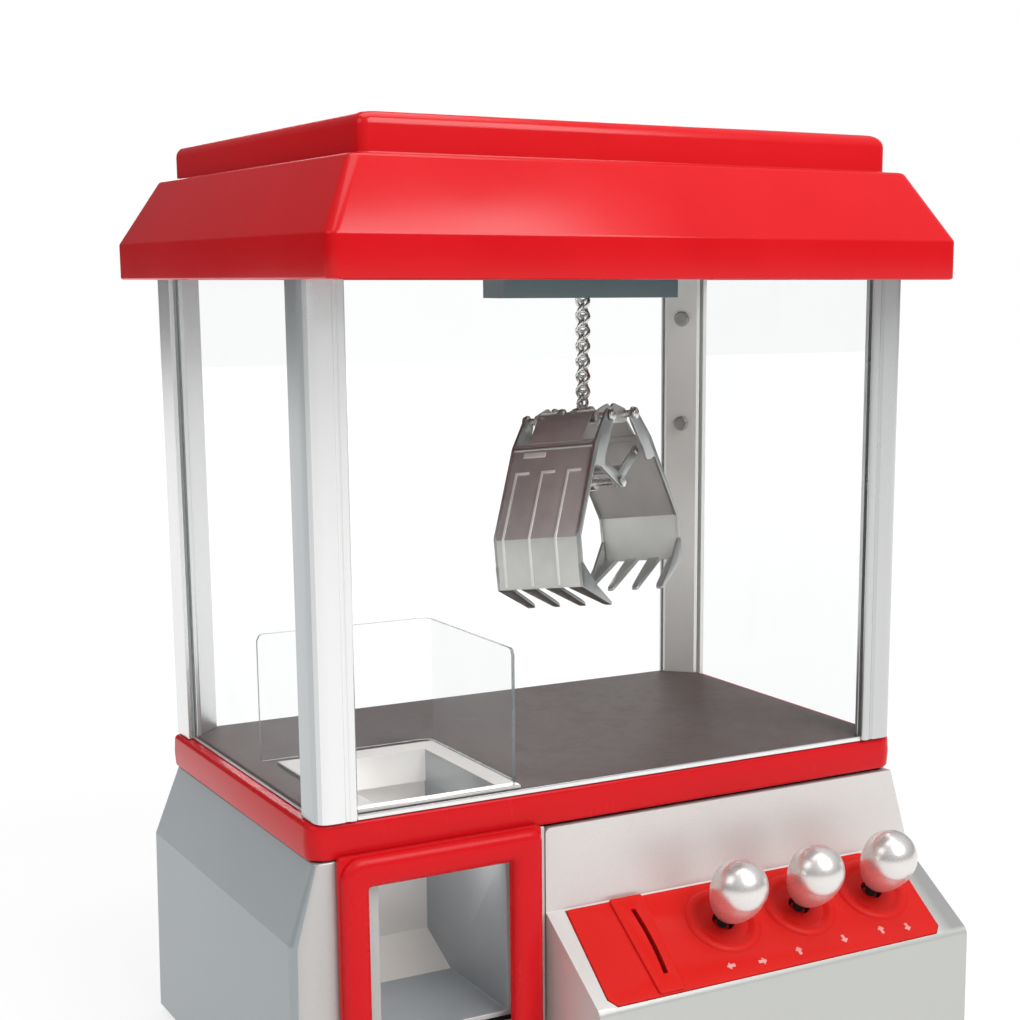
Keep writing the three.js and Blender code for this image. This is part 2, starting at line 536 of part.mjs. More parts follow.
// Bent plate with side flanges, three ribs and four teeth.
const buildShell = (side) => {
  const { half } = CLAW;
  const prism = (outline, y0, y1) => alongY(outline.map(([x, z]) => [side * x, z]), y0, y1);
  const edgePair = (outline, t) => bothY((y0, y1) => prism(outline, y0, y1), half - t, half);
  const toothRing = (y, halfWidth, lower, upper) => [
    [lower, y - halfWidth], [lower, y + halfWidth], [upper, y + halfWidth], [upper, y - halfWidth],
  ].map(([[x, z], cornerY]) => [side * x, cornerY, z, cornerY, side * x + z]);
  const teeth = TEETH.map(([root, tip]) => loft([
    toothRing(root, 3.2, [53.0, -20.0], [51.6, -18.4]),
    toothRing(tip, 1.6, [27.6, -30.6], [27.0, -29.2])]));
  const ribs = RIB_Y.map((y) => prism(RIB, -side * y - 0.55, -side * y + 0.55));

  // narrower neck between shoulder and hinge
  const plate = cut(prism([...PLATE_OUTER, ...PLATE_INNER.toReversed()], -half, half),
    ...bothY((y0, y1) => box(-60, 60, y0, y1, 36.2, 60), NECK_HALF, 30));
  const body = fuse(plate,
    rodY(side * hingeX, -NECK_HALF, NECK_HALF, hingeZ, 3.1, 16),
    prism(HINGE_LUG, -NECK_HALF, NECK_HALF),
    ...edgePair(FLANGE, 1.3),
    ...teeth,
    ...edgePair(LOWER_CHEEK, 1.2),
    ...ribs);
  return cut(body,
    rodY(side * hingeX, -30, 30, hingeZ, PIN.boreR, 16),
    box(-8.2, 8.2, -14.6, 14.6, 40, 52),
    // room for the head cheeks between neck and flange
    ...bothY((y0, y1) => box(-20, 20, y0, y1, 39.0, 54), 12.4, 14.8));
};
for (const [name, side] of SIDES) add('shell_' + name, buildShell(side), MATERIALS.zinc, claw);

// Toggle: pair of bars with a rung, foot on the toggle pin, knee beside the shell flange.
const buildToggle = (side, barY) => {
  const reach = new THREE.Vector2(KNEE[0] - toggleX, KNEE[1] - toggleZ);
  const length = reach.length();
  const { x: ux, y: uz } = reach.normalize();
  const at = ([a, b]) => [side * (toggleX + ux * a - uz * b), toggleZ + uz * a + ux * b];
  const outline = [
    ...arc(0, 0, 2.6, 90, 270, 6), ...arc(length, 0, 2.2, -90, 90, 6),
  ].map(at);
  const [rungX, rungZ] = at([11, 0]);
  return cut(
    fuse(
      ...bothY((y0, y1) => alongY(outline, y0, y1), barY, barY + 1.2),
      rodY(rungX, -barY - 0.6, barY + 0.6, rungZ, 1.3, 12)),
    rodY(toggleX, -30, 30, toggleZ, PIN.boreR, 16));
};
add('toggle_left', buildToggle(-1, 14.6), MATERIALS.zinc, claw);
add('toggle_right', buildToggle(1, 12.9), MATERIALS.zinc, claw);
add('toggle_pin', fuse(
  headedPin(toggleX, toggleZ, 17.0, 16.2, 17.6),
  rodY(toggleX, -4.5, 4.5, toggleZ, 3.4, 20)), MATERIALS.steel, claw);

// ---------------------------------------------------------------- prize door
const doorHole = (grow, r) => roundedRect(DOOR_HOLE.x0 - grow, DOOR_HOLE.x1 + grow,
  DOOR_HOLE.z0 - grow, DOOR_HOLE.z1 + grow, r, 6);

// Nearly square rear layer, softer front layer.
const buildDoor = () => {
  const { x0, x1, y0, y1, z0, z1 } = DOOR;
  const square = [1.5, 1.5, 1.5, 1.5];
  const soft = [5.5, 8.5, 8.5, 5.5];
  const ring = (inset, y, radii) => ringY(roundedRect(x0 + inset, x1 - inset,
    z0 + inset, z1 - inset, radii.map((r) => Math.max(r - inset, 1.2)), 6), y);
  const hole = (grow, y) => ringY(doorHole(grow, DOOR_HOLE.r + grow), y);
  const rear = loft([ring(0, y1, square), ring(0, y0 + 3.4, square)]);
  const front = loft([
    ring(0.1, y0 + 3.8, soft), ring(0.1, y0 + 3.0, soft),
    ring(0.8, y0 + 1.0, soft), ring(2.4, y0, soft)]);
  const opening = loft([hole(0, y1 + 1), hole(0, y0 + 2.4), hole(2.6, y0 - 0.4)]);
  const paneSeat = loft([hole(3.0, y1 + 1), hole(3.0, y1 - 1.8)]);
  return cut(fuse(rear, front), opening, paneSeat);
};
add('prize_door', buildDoor(), MATERIALS.red);
add('door_pane', alongY(doorHole(2.7, 5.2), DOOR.y1 - 1.5, DOOR.y1 - 0.3), MATERIALS.clear);

// ---------------------------------------------------------------- console
const panel = new THREE.Group();
panel.position.set(0, FRONT, CONSOLE.zBack);
panel.rotation.x = PANEL_TILT;
machine.add(panel);
panel.updateMatrixWorld(true);

// Panel frame: x as in the machine, y up the slope from its back edge, z out of the surface.
const panelOutline = (grow) => [
  [-28.7 - grow, -1.2 + grow], [-31 - grow, -43.6], [-28.4, -47.2 - grow], [123.8, -47.2 - grow],
  [126.9 + grow, -44], [128.6 + grow, -9.0], [113, -1.2 + grow],
];

// The case's form drawn out forward, which trims the ends of the console.
const caseEnvelope = (grow, bottomZ) => {
  const levels = [[0, bottomZ], [BASE.zKink, BASE.zKink], [BASE.z1, BASE.z1]];
  return loft(levels.map(([z, levelZ]) =>
    baseRing(z, grow).map(([x, y]) => [x, y < 0 ? y - 60 : y, levelZ])));
};

const buildConsole = () => {
  const { x0, x1, yFront, zBack, zFront, zTop } = CONSOLE;
  const outerSection = [
    [FRONT + 3.8, 3.4], [FRONT + 3.8, zTop], [FRONT, zTop], [FRONT, zBack],
    ...arc(yFront + 4, zFront - 1.9, 4.2, 123.5, 180, 4), [yFront, 3.4],
  ];
  const innerSection = [
    [FRONT + 8, -2], [FRONT + 8, 112], [FRONT + 6, 112], [FRONT + 2.4, 107.6],
    [FRONT + 2.4, zBack - 1.6], [yFront + 2.6, zFront - 3.6], [yFront + 2.6, -2],
  ];
  const outer = alongX(outerSection, x0, x1).intersect(caseEnvelope(0, 0));
  const inner = alongX(innerSection, x0 + 2.5, x1 - 2.5)
    .intersect(caseEnvelope(-BASE.wall, -5));
  // rounds the upper left corner of the wall behind the panel
  const cornerR = 2.4;
  const cornerZ = zTop - cornerR;
  const cornerWaste = cut(
    box(x0 - 1, x0 + cornerR, FRONT - 1, FRONT + 5, cornerZ, 112),
    rodY(x0 + cornerR, FRONT - 2, FRONT + 6, cornerZ, cornerR, 32));
  const panelRoom = toGeometry(slab(panelOutline(GAP), -6, 6));
  panelRoom.applyMatrix4(panel.matrixWorld);
  return cut(outer, inner, cornerWaste, toSolid(panelRoom));
};
add('console_shell', buildConsole(), MATERIALS.silver);

// ---------------------------------------------------------------- control panel
// Arrows beside the joysticks: x, y, heading in radians (0 points up the slope).
const ARROWS = [
  [25.1, -41.3, Math.PI / 2], [39.3, -42.4, -Math.PI / 2], [57.4, -41.4, 0],
  [80.1, -40.6, Math.PI], [99.2, -40.3, 0], [111.8, -41.7, Math.PI],
];
const ARROW_OUTLINE = [[0, 2.6], [-2.4, 0], [-1, 0], [-1, -2.4], [1, -2.4], [1, 0], [2.4, 0]];
const buildArrow = ([x, y, heading]) => {
  const [cos, sin] = [Math.cos(heading), Math.sin(heading)];
  return slab(ARROW_OUTLINE.map(([a, b]) => [x + a * cos - b * sin, y + a * sin + b * cos]),
    0.5, 1.45);
};

// One long edge of the bowed coin slot.
const slotEdge = (x) => Array.from({ length: 9 }, (_, i) => {
  const t = i / 8;
  return [
    x - COIN_SLOT.lean * t + COIN_SLOT.bow * 4 * t * (1 - t),
    COIN_SLOT.yTop - COIN_SLOT.length * t,
  ];
});
const slotOutline = [...slotEdge(COIN_SLOT.x0), ...slotEdge(COIN_SLOT.x1).reverse()];

const STICK_COLLAR = [
  [0, -1.4], [15.6, -1.4], [15.6, 0.9], [14.6, 1.9], [12.4, 2.2], [0, 2.2],
];
const STICK_DISH = [[0, 0.2], [8.6, 0.2], [11.8, 2.6], [0, 2.6]];
const COIN_PLATE = [[-10, -0.6], [-10, -46.6], [1.3, -46.6], [4.7, -0.6]];
const panelBlank = fuse(
  slab(panelOutline(0), -1.6, 0.9),
  ...STICK_X.map((x) => turned(STICK_COLLAR, x, STICK_Y, 32)),
  slab(COIN_PLATE, 0.4, 2.3));
const panelPlate = cut(panelBlank,
  ...STICK_X.flatMap((x) => [
    turned(STICK_DISH, x, STICK_Y, 32),
    rodZ(x, STICK_Y, -5, 5, 4.9, 24)]),
  slab(slotOutline, -5, 5));
add('control_panel', fuse(panelPlate, ...ARROWS.map(buildArrow)), MATERIALS.red, panel);

// Joysticks: egg-shaped knob, neck and pivot ball in one piece.
const KNOB = { z: 21.4, r: 11.2, startAngle: -0.26 };
const stickProfile = [
  [0, -8.4], [2.4, -7.8], [3.9, -5.8], [4.2, -4.0], [3.6, -1.8], [2.3, -0.6],
  [2.3, 5.5], [5.2, 5.5], [5.9, 6.1], [7.9, 9.0], [9.6, 12.4], [10.6, 15.6],
  ...arc(0, KNOB.z, KNOB.r, THREE.MathUtils.radToDeg(KNOB.startAngle), 90, 12).slice(0, -1),
  [0, KNOB.z + KNOB.r],
];
STICK_X.forEach((x, i) => {
  add('joystick_' + (i + 1), turned(stickProfile, x, STICK_Y, 24), MATERIALS.silver, panel);
});

// Coin guide under the slot, with a lever that the coin pushes aside.
add('coin_chute', cut(
  box(-10.4, 2.4, -40.6, -5.4, -33, -2.2),
  box(-5.0, -0.4, -39.2, -7.2, -40, 0),
  box(-2.5, 4, -26, -18, -26, -16)), MATERIALS.black, panel);
add('coin_lever', fuse(
  box(-4.2, 6.2, -24.4, -19.6, -22.2, -20.6),
  box(4.6, 6.2, -24.4, -19.6, -32, -20.8),
  rodY(6.0, -26.5, -17.5, -21.4, 1.4, 12)), MATERIALS.steel, panel);

// ---------------------------------------------------------------- electrics inside the base
add('circuit_board', fuse(
  slab(roundedRect(-30, 60, 52.5, 66, 1), 40, 41.6),
  box(-18, 6, 55, 63, 41.4, 46),
  box(20, 30, 55, 63, 41.4, 49),
  box(40, 46, 55, 61, 41.4, 47)), MATERIALS.green);
const speakerProfile = [
  [0, 6.2], [13, 6.2], [19.5, 6.0], [20, 8.2], [17.5, 8.8], [9.5, 16.0], [9.5, 22], [0, 22],
];
add('speaker', turned(speakerProfile, 104, 0, 32), MATERIALS.black);
add('power_switch', fuse(
  box(99.0, 105.0, 77.2, 82.2, 37.2, 40.8),
  box(97.2, 106.8, 74.6, 77.6, 35.4, 42.6)), MATERIALS.black);

export default machine;
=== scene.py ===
"""Toy claw machine: a cabinet with clear windows on a silver base, with a crane claw inside.

The front faces -Y, X runs to the right as seen from the front, Z is up and the floor is
Z = 0. Part geometry is in millimetres; build() scales it to metres. Shaders, lights and
the camera are in metres.
"""

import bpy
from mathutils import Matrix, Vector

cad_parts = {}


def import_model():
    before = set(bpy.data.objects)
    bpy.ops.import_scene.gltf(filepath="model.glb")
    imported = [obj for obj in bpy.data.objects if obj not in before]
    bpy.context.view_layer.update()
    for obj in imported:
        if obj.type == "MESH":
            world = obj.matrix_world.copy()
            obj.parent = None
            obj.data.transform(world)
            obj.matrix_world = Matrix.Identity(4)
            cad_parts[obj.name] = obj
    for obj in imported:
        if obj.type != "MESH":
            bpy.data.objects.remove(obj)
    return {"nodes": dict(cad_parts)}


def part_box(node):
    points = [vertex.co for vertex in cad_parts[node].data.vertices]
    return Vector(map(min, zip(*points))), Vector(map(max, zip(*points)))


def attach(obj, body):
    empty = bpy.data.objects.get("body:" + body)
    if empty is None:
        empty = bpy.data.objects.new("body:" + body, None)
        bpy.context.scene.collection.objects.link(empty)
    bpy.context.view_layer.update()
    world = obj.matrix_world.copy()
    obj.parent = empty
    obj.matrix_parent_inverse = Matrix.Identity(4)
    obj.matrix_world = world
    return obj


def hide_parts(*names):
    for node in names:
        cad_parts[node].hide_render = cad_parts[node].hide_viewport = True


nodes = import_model()["nodes"]

import math
import random
from collections import namedtuple

import bmesh
import bpy
from mathutils import Matrix, Vector

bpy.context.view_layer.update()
random.seed(7)


# ------------------------------------------------------------------ outlines
def rounded_rect(x0, x1, y0, y1, radii, steps):
    """radii: one value, or four in the order (x1, y1), (x0, y1), (x0, y0), (x1, y0)."""
    if not isinstance(radii, (list, tuple)):
        radii = [radii] * 4
    # corner x, corner y, and the signs of the way inward
    corners = ((x1, y1, -1, -1), (x0, y1, 1, -1), (x0, y0, 1, 1), (x1, y0, -1, 1))
    points = []
    for quarter, (radius, (x, y, in_x, in_y)) in enumerate(zip(radii, corners)):
        for i in range(steps + 1):
            angle = (quarter + i / steps) * math.pi / 2
            points.append((x + in_x * radius + radius * math.cos(angle),
                           y + in_y * radius + radius * math.sin(angle)))
    return points


def fillet(points, radii, steps=5, closed=False):
    """Rounds the corners of a 2-D line; radii is one value, or one for each point."""
    rounded = []
    count = len(points)
    for i, point in enumerate(points):
        radius = radii if isinstance(radii, (int, float)) else radii[i]
        if (not closed and i in (0, count - 1)) or radius <= 0:
            rounded.append(tuple(point))
            continue
        corner = Vector(point)
        before = Vector(points[i - 1]) - corner
        after = Vector(points[(i + 1) % count]) - corner
        to_before, to_after = before.normalized(), after.normalized()
        angle = math.acos(max(-1, min(1, to_before.dot(to_after))))
        if angle > math.pi - 0.02:
            rounded.append(tuple(point))
            continue
        tangent = math.tan(angle / 2)
        reach = min(radius / tangent, before.length * 0.49, after.length * 0.49)
        radius = reach * tangent
        middle = (to_before + to_after).normalized()
        centre = corner + middle * (radius / math.sin(angle / 2))
        start, end = corner + to_before * reach, corner + to_after * reach
        start_angle = math.atan2(start.y - centre.y, start.x - centre.x)
        end_angle = math.atan2(end.y - centre.y, end.x - centre.x)
        turn = (end_angle - start_angle + math.pi) % (2 * math.pi) - math.pi
        for k in range(steps + 1):
            angle = start_angle + turn * k / steps
            rounded.append((centre.x + radius * math.cos(angle),
                            centre.y + radius * math.sin(angle)))
    return rounded


def circle(radius, steps, x=0.0, y=0.0):
    angles = [2 * math.pi * i / steps for i in range(steps)]
    return [(x + radius * math.cos(angle), y + radius * math.sin(angle)) for angle in angles]


def left_normal(start, end):
    return Vector((-(end[1] - start[1]), end[0] - start[0])).normalized()


def offset_line(points, distance):
    """Moves an open 2-D line to its left by a distance, with mitred corners."""
    moved_points = []
    last = len(points) - 1
    for i, point in enumerate(points):
        before = Vector(points[max(i - 1, 0)])
        after = Vector(points[min(i + 1, last)])
        if 0 < i < last:
            normal = left_normal(before, point) + left_normal(point, after)
            normal = normal / max(normal.length_squared, 1e-6) * 2
        else:
            normal = left_normal(before, after)
        moved_points.append((point[0] + normal.x * distance, point[1] + normal.y * distance))
    return moved_points


# ------------------------------------------------------------------ parts: (vertices, faces)
def loft(rings, loop=False):
    """Joins rings of equal length; an open loft is capped at both ends."""
    size, count = len(rings[0]), len(rings)
    verts = [tuple(point) for ring in rings for point in ring]
    faces = []
    for k in range(count if loop else count - 1):
        near, far = k * size, ((k + 1) % count) * size
        for i in range(size):
            j = (i + 1) % size
            faces.append((near + i, near + j, far + j, far + i))
    if not loop:
        faces.append(tuple(range(size - 1, -1, -1)))
        faces.append(tuple((count - 1) * size + i for i in range(size)))
    return verts, faces


def lathe(profile, steps):
    """Turns a profile [(radius, z)] whose first and last points lie on the axis."""
    verts, faces, rows = [], [], []
    for radius, z in profile:
        if radius < 1e-6:
            rows.append([len(verts)])
            verts.append((0.0, 0.0, z))
        else:
            rows.append(list(range(len(verts), len(verts) + steps)))
            verts += [(x, y, z) for x, y in circle(radius, steps)]
    for low, high in zip(rows, rows[1:]):
        for i in range(steps):
            j = (i + 1) % steps
            if len(low) == 1:
                faces.append((low[0], high[j], high[i]))
            elif len(high) == 1:
                faces.append((low[i], low[j], high[0]))
            else:
                faces.append((low[i], low[j], high[j], high[i]))
    return verts, faces


def prism(outline, z0, z1):
    return loft([[(x, y, z) for x, y in outline] for z in (z0, z1)])


def box(x0, x1, y0, y1, z0, z1):
    return prism([(x0, y0), (x1, y0), (x1, y1), (x0, y1)], z0, z1)


def upright(outline, y):
    """Stands an (x, z) outline at one y."""
    return [(x, y, z) for x, z in outline]


def along_y(outline, y0, y1):
    return loft([upright(outline, y0), upright(outline, y1)])


def strip(outer, inner, y0, y1):
    """Fills between two (x, z) lines and extrudes along Y."""
    return along_y(outer + inner[::-1], y0, y1)


def raised(line, height, depth, y0, y1):
    """A strip that stands above a line by height and sinks below it by depth."""
    return strip(offset_line(line, height), offset_line(line, -depth), y0, y1)


def merge(*parts):
    verts, faces = [], []
    for part_verts, part_faces in parts:
        offset = len(verts)
        verts += list(part_verts)
        faces += [tuple(i + offset for i in face) for face in part_faces]
    return verts, faces


def moved(part, matrix):
    verts, faces = part
    return [tuple(matrix @ Vector(point)) for point in verts], faces


def sweep(path, section, closed=False):
    """Sweeps a closed 2-D section along a 3-D path."""
    count = len(path)
    rings = []
    side = None
    for i, point in enumerate(path):
        point = Vector(point)
        before = Vector(path[(i - 1) % count]) if closed or i > 0 else point
        after = Vector(path[(i + 1) % count]) if closed or i < count - 1 else point
        tangent = (after - before).normalized()
        if side is None:
            up = Vector((0, 0, 1)) if abs(tangent.z) < 0.9 else Vector((1, 0, 0))
            side = tangent.cross(up).normalized()
        else:
            side = (side - tangent * side.dot(tangent)).normalized()
        across = side.cross(tangent).normalized()
        rings.append([tuple(point + side * x + across * y) for x, y in section])
    return loft(rings, loop=closed)


def y_bar(x, z, half_length, radius, steps):
    return sweep([(x, -half_length, z), (x, half_length, z)], circle(radius, steps))


def pin_heads(profile, steps, x, y, z):
    """Turned heads at -y and +y that face away from each other."""
    return [moved(lathe(profile, steps), Matrix.Translation((x, end * y, z))
                  @ Matrix.Rotation(-end * math.pi / 2, 4, "X")) for end in (-1, 1)]


# ------------------------------------------------------------------ objects
def node_box(name):
    """x0, x1, y0, y1, z0, z1 of a CAD node in mm."""
    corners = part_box(name)
    return [corner[axis] * 1000 for axis in range(3) for corner in corners]


def bevel_edges(bm, width, steps, min_angle):
    edges = [edge for edge in bm.edges
             if len(edge.link_faces) == 2 and edge.calc_face_angle(0) > math.radians(min_angle)]
    bmesh.ops.bevel(bm, geom=edges, offset=width, segments=steps, profile=0.5,
                    affect="EDGES", clamp_overlap=True)


def build(name, part, materials, body=None, slot=None, replaces=(), smooth=38, matrix=None,
          bevel=0.0, steps=2, face_material=None):
    """Makes an object from mm geometry, rounds its edges and rides it on a body."""
    verts, faces = part
    mesh = bpy.data.meshes.new(name)
    mesh.from_pydata([tuple(point) for point in verts], [], faces)
    bm = bmesh.new()
    bm.from_mesh(mesh)
    bmesh.ops.remove_doubles(bm, verts=bm.verts, dist=1e-4)
    bmesh.ops.recalc_face_normals(bm, faces=bm.faces)
    if bevel:
        bevel_edges(bm, width=bevel, steps=steps, min_angle=35)
    if matrix is not None:
        bmesh.ops.transform(bm, matrix=matrix, verts=bm.verts)
    bmesh.ops.scale(bm, vec=(0.001,) * 3, verts=bm.verts)
    for face in bm.faces:
        face.smooth = True
        if face_material:
            face.material_index = face_material(face)
    bm.to_mesh(mesh)
    bm.free()
    mesh.set_sharp_from_angle(angle=math.radians(smooth))
    ob = bpy.data.objects.new(name, mesh)
    bpy.context.scene.collection.objects.link(ob)
    for material in materials if isinstance(materials, list) else [materials]:
        mesh.materials.append(material)
    if body:
        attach(ob, body)
    if replaces:
        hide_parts(*replaces)
    return ob


def cut(ob, cutters):
    """Subtracts parts given as mm geometry."""
    for part in cutters:
        cutter = build("cutter", part, [], smooth=0)
        modifier = ob.modifiers.new("cut", "BOOLEAN")
        modifier.operation = "DIFFERENCE"
        modifier.solver = "EXACT"
        modifier.object = cutter
        graph = bpy.context.evaluated_depsgraph_get()
        mesh = bpy.data.meshes.new_from_object(ob.evaluated_get(graph))
        ob.modifiers.remove(modifier)
        old_mesh = ob.data
        ob.data = mesh
        bpy.data.meshes.remove(old_mesh)
        cutter_mesh = cutter.data
        bpy.data.objects.remove(cutter)
        bpy.data.meshes.remove(cutter_mesh)


def soften(ob, bevel, steps, min_angle, smooth):
    """Cleans a cut mesh and rounds its edges; bevel is in mm."""
    bm = bmesh.new()
    bm.from_mesh(ob.data)
    bmesh.ops.remove_doubles(bm, verts=bm.verts, dist=1e-7)
    bmesh.ops.dissolve_limit(bm, angle_limit=math.radians(0.6), verts=bm.verts, edges=bm.edges)
    bevel_edges(bm, width=bevel * 0.001, steps=steps, min_angle=min_angle)
    for face in bm.faces:
        face.smooth = True
    bm.to_mesh(ob.data)
    bm.free()
    ob.data.set_sharp_from_angle(angle=math.radians(smooth))


def weigh_normals(ob, weight):
    modifier = ob.modifiers.new("normals", "WEIGHTED_NORMAL")
    modifier.keep_sharp = True
    modifier.weight = weight


# ------------------------------------------------------------------ shader helpers
NOISE_SPAN = (0.3, 0.7)  # the range that most noise values fall in


class Shader:
    """The node tree of a material or world, emptied, with short ways to fill it."""

    def __init__(self, owner, output):
        self.owner = owner
        owner.use_nodes = True
        owner.node_tree.nodes.clear()
        self.output = self.node(output)
        self.coords = self.node("TexCoord")

    def put(self, value, socket):
        if isinstance(value, bpy.types.NodeSocket):
            self.owner.node_tree.links.new(value, socket)
        else:
            socket.default_value = value

    def node(self, kind, inputs=None, **props):
        node = self.owner.node_tree.nodes.new("ShaderNode" + kind)
        for key, value in props.items():
            setattr(node, key, value)
        for key, value in (inputs or {}).items():
            self.put(value, node.inputs[key])
        return node

    def mapped(self, scale, rotation=(0, 0, 0)):
        return self.node("Mapping", {"Scale": scale, "Rotation": rotation,
                                     "Vector": self.coords.outputs["Object"]}).outputs["Vector"]

    def noise(self, scale, detail=3.0, rough=0.55, vector=None, distortion=0.0):
        return self.node("TexNoise", {
            "Scale": scale, "Detail": detail, "Roughness": rough, "Distortion": distortion,
            "Vector": vector or self.coords.outputs["Object"]}).outputs["Fac"]

    def ramp(self, source, to=(0.0, 1.0), span=NOISE_SPAN):
        """Maps span to another range and clamps the result."""
        return self.node("MapRange", {
            "From Min": span[0], "From Max": span[1], "To Min": to[0], "To Max": to[1],
            "Value": source}, clamp=True).outputs["Result"]

    def mix(self, factor, first, second):
        return self.node("Mix", {0: factor, 6: first, 7: second}, data_type="RGBA").outputs[2]

    def math(self, operation, first, second):
        return self.node("Math", {0: first, 1: second, 2: 0.0}, operation=operation).outputs[0]

    def split(self, vector):
        return self.node("SeparateXYZ", {0: vector}).outputs

    def edges(self, span):
        """High on convex edges, where a surface is rubbed."""
        return self.ramp(self.node("NewGeometry").outputs["Pointiness"], span=span)

    def mix_shader(self, factor, first, second):
        inputs = {0: factor, 1: first.outputs[0], 2: second.outputs[0]}
        return self.node("MixShader", inputs)

    def finish(self, surface):
        self.put(surface.outputs[0], self.output.inputs["Surface"])
        return self.owner

    def principled(self, base, rough, metallic, bumps, coat=0.0, spec=0.5):
        """Finishes with a surface of layered bumps [(height, distance in m, strength)]."""
        surface = self.node("BsdfPrincipled", {
            "Base Color": base, "Roughness": rough, "Metallic": metallic,
            "Specular IOR Level": spec, "Coat Weight": coat, "Coat Roughness": 0.06})
        normal = None
        for height, distance, strength in bumps:
            inputs = {"Distance": distance, "Strength": strength, "Height": height}
            if normal is not None:
                inputs["Normal"] = normal
            normal = self.node("Bump", inputs).outputs["Normal"]
        self.put(normal, surface.inputs["Normal"])
        return self.finish(surface)


def new_material(name):
    return Shader(bpy.data.materials.new(name), "OutputMaterial")


def srgb(*levels):
    """Linear colour from 0-255 sRGB levels."""
    def linear(level):
        return level / 12.92 if level <= 0.04045 else ((level + 0.055) / 1.055) ** 2.4
    return tuple(linear(level / 255) for level in levels) + (1.0,)


def toned(color, gain, lift=0.0):
    return tuple(min(1, channel * gain + lift) for channel in color[:3]) + (1,)


# ------------------------------------------------------------------ material recipes
EDGE_SPAN = (0.505, 0.56)
METAL_EDGE_SPAN = (0.505, 0.55)


def plastic(name, color, rough=0.25, coat=0.0, var=0.05, peel=0.5, grain=0.0, wear=0.25,
            scuffed=0.12, spec=0.5):
    """Moulded plastic: slow tint drift, orange-peel gloss, scuffs, paler worn edges."""
    shader = new_material(name)
    color = tuple(color[:3])
    drift = shader.noise(scale=18, detail=4)
    mottle = shader.noise(scale=160)
    stretched = shader.mapped(scale=(1, 1, 0.35), rotation=(0.3, 0.2, 0.5))
    scuff = shader.noise(scale=90, detail=6, rough=0.7, vector=stretched, distortion=1.2)
    base = shader.mix(shader.ramp(drift), toned(color, 1 - var * 1.6),
                      toned(color, 1 + var, lift=var * 0.02))
    base = shader.mix(shader.ramp(mottle, to=(0, 0.25), span=(0.35, 0.75)), base, color + (1,))
    edges = shader.edges(EDGE_SPAN)
    pale = tuple(channel + (0.86 - channel) * 0.35 for channel in color) + (1,)
    base = shader.mix(shader.math("MULTIPLY", edges, wear), base, pale)
    gloss = shader.math("ADD",
                        shader.ramp(scuff, to=(rough, rough + scuffed), span=(0.45, 0.8)),
                        shader.ramp(drift, to=(-0.03, 0.03)))
    gloss = shader.math("ADD", gloss, shader.math("MULTIPLY", edges, 0.08))
    bumps = [(shader.noise(scale=420, detail=2), 0.00006, peel * 0.35)]
    if grain:
        bumps.append((shader.noise(scale=2600, detail=2), 0.00005, grain))
    return shader.principled(base, gloss, 0.0, bumps, coat=coat, spec=spec)


# A painted shade tone for faces turned along sign * axis, darkening them in the base colour.
# With
# `along`, it grows along that axis from nothing at none_at to full at full_at (m).
ShadeZone = namedtuple("ShadeZone", "axis sign tone along none_at full_at", defaults=(None, 0, 0))


def metallic_paint(name, color, rough=0.36, metal=0.45, flake=0.5, streak=None, grain=0.25,
                   left_and_floor_shade=None, shade_zones=()):
    """Silver paint on plastic: fine flake sparkle, slow drift, rubbed edges, and painted shade
    on chosen faces.
    """
    var, wear = 0.04, 0.2  # tint drift, and how much the edges are rubbed
    shader = new_material(name)
    drift = shader.noise(scale=9, detail=4)
    streaked = shader.mapped(scale=streak) if streak else None
    fine = shader.noise(scale=3800, detail=2, rough=0.6)
    coarse = shader.noise(scale=700, rough=0.6, vector=streaked)
    base = shader.mix(shader.ramp(drift), toned(color, 1 - var * 1.5), toned(color, 1 + var))
    spark = shader.ramp(fine, to=(1 - 0.22 * flake, 1 + 0.18 * flake), span=(0.35, 0.75))
    base = shader.node("HueSaturation", {"Color": base, "Value": spark}).outputs["Color"]
    if left_and_floor_shade:
        # painted shade: surfaces that face left, and the tray floor, are painted darker in the
        # base colour
        geometry = shader.node("NewGeometry")
        normal = shader.split(geometry.outputs["True Normal"])
        position = shader.split(geometry.outputs["Position"])
        left = shader.ramp(normal["X"], to=(1.0, 0.0), span=(-0.85, -0.6))
        low = shader.math(
            "MULTIPLY", shader.ramp(position["Z"], to=(1.0, 0.0), span=(0.0392, 0.0400)),
            shader.ramp(normal["Z"], span=(0.95, 0.99)))
        tone = shader.mix(shader.ramp(drift, to=(0, 0.3)), left_and_floor_shade, toned(left_and_floor_shade, 0.85))
        base = shader.mix(shader.math("MAXIMUM", left, low), base, tone)
    # painted shade: each zone paints its darker colour over the faces turned its way
    for zone in shade_zones:
        geometry = shader.node("NewGeometry")
        normal = shader.split(geometry.outputs["True Normal"])
        amount = shader.ramp(shader.math("MULTIPLY", normal[zone.axis], zone.sign),
                             span=(0.62, 0.8))
        if zone.along:
            position = shader.split(geometry.outputs["Position"])
            rising = zone.none_at < zone.full_at
            growth = shader.ramp(position[zone.along],
                                 to=(0.0, 1.0) if rising else (1.0, 0.0),
                                 span=sorted((zone.none_at, zone.full_at)))
            amount = shader.math("MULTIPLY", amount, growth)
        tone = shader.mix(shader.ramp(drift, to=(0, 0.4)), zone.tone, toned(zone.tone, 0.86))
        base = shader.mix(amount, base, tone)
    edges = shader.edges(EDGE_SPAN)
    base = shader.mix(shader.math("MULTIPLY", edges, wear), base, (0.82, 0.82, 0.8, 1))
    contrast = min(1, flake * 2)
    gloss = shader.math("ADD",
                        shader.ramp(fine, to=(rough - 0.05 * contrast, rough + 0.09 * contrast)),
                        shader.ramp(drift, to=(-0.03, 0.05)))
    bumps = [(fine, 0.00002, 0.35 * flake), (coarse, 0.00003, grain)]
    return shader.principled(base, gloss, metal, bumps)


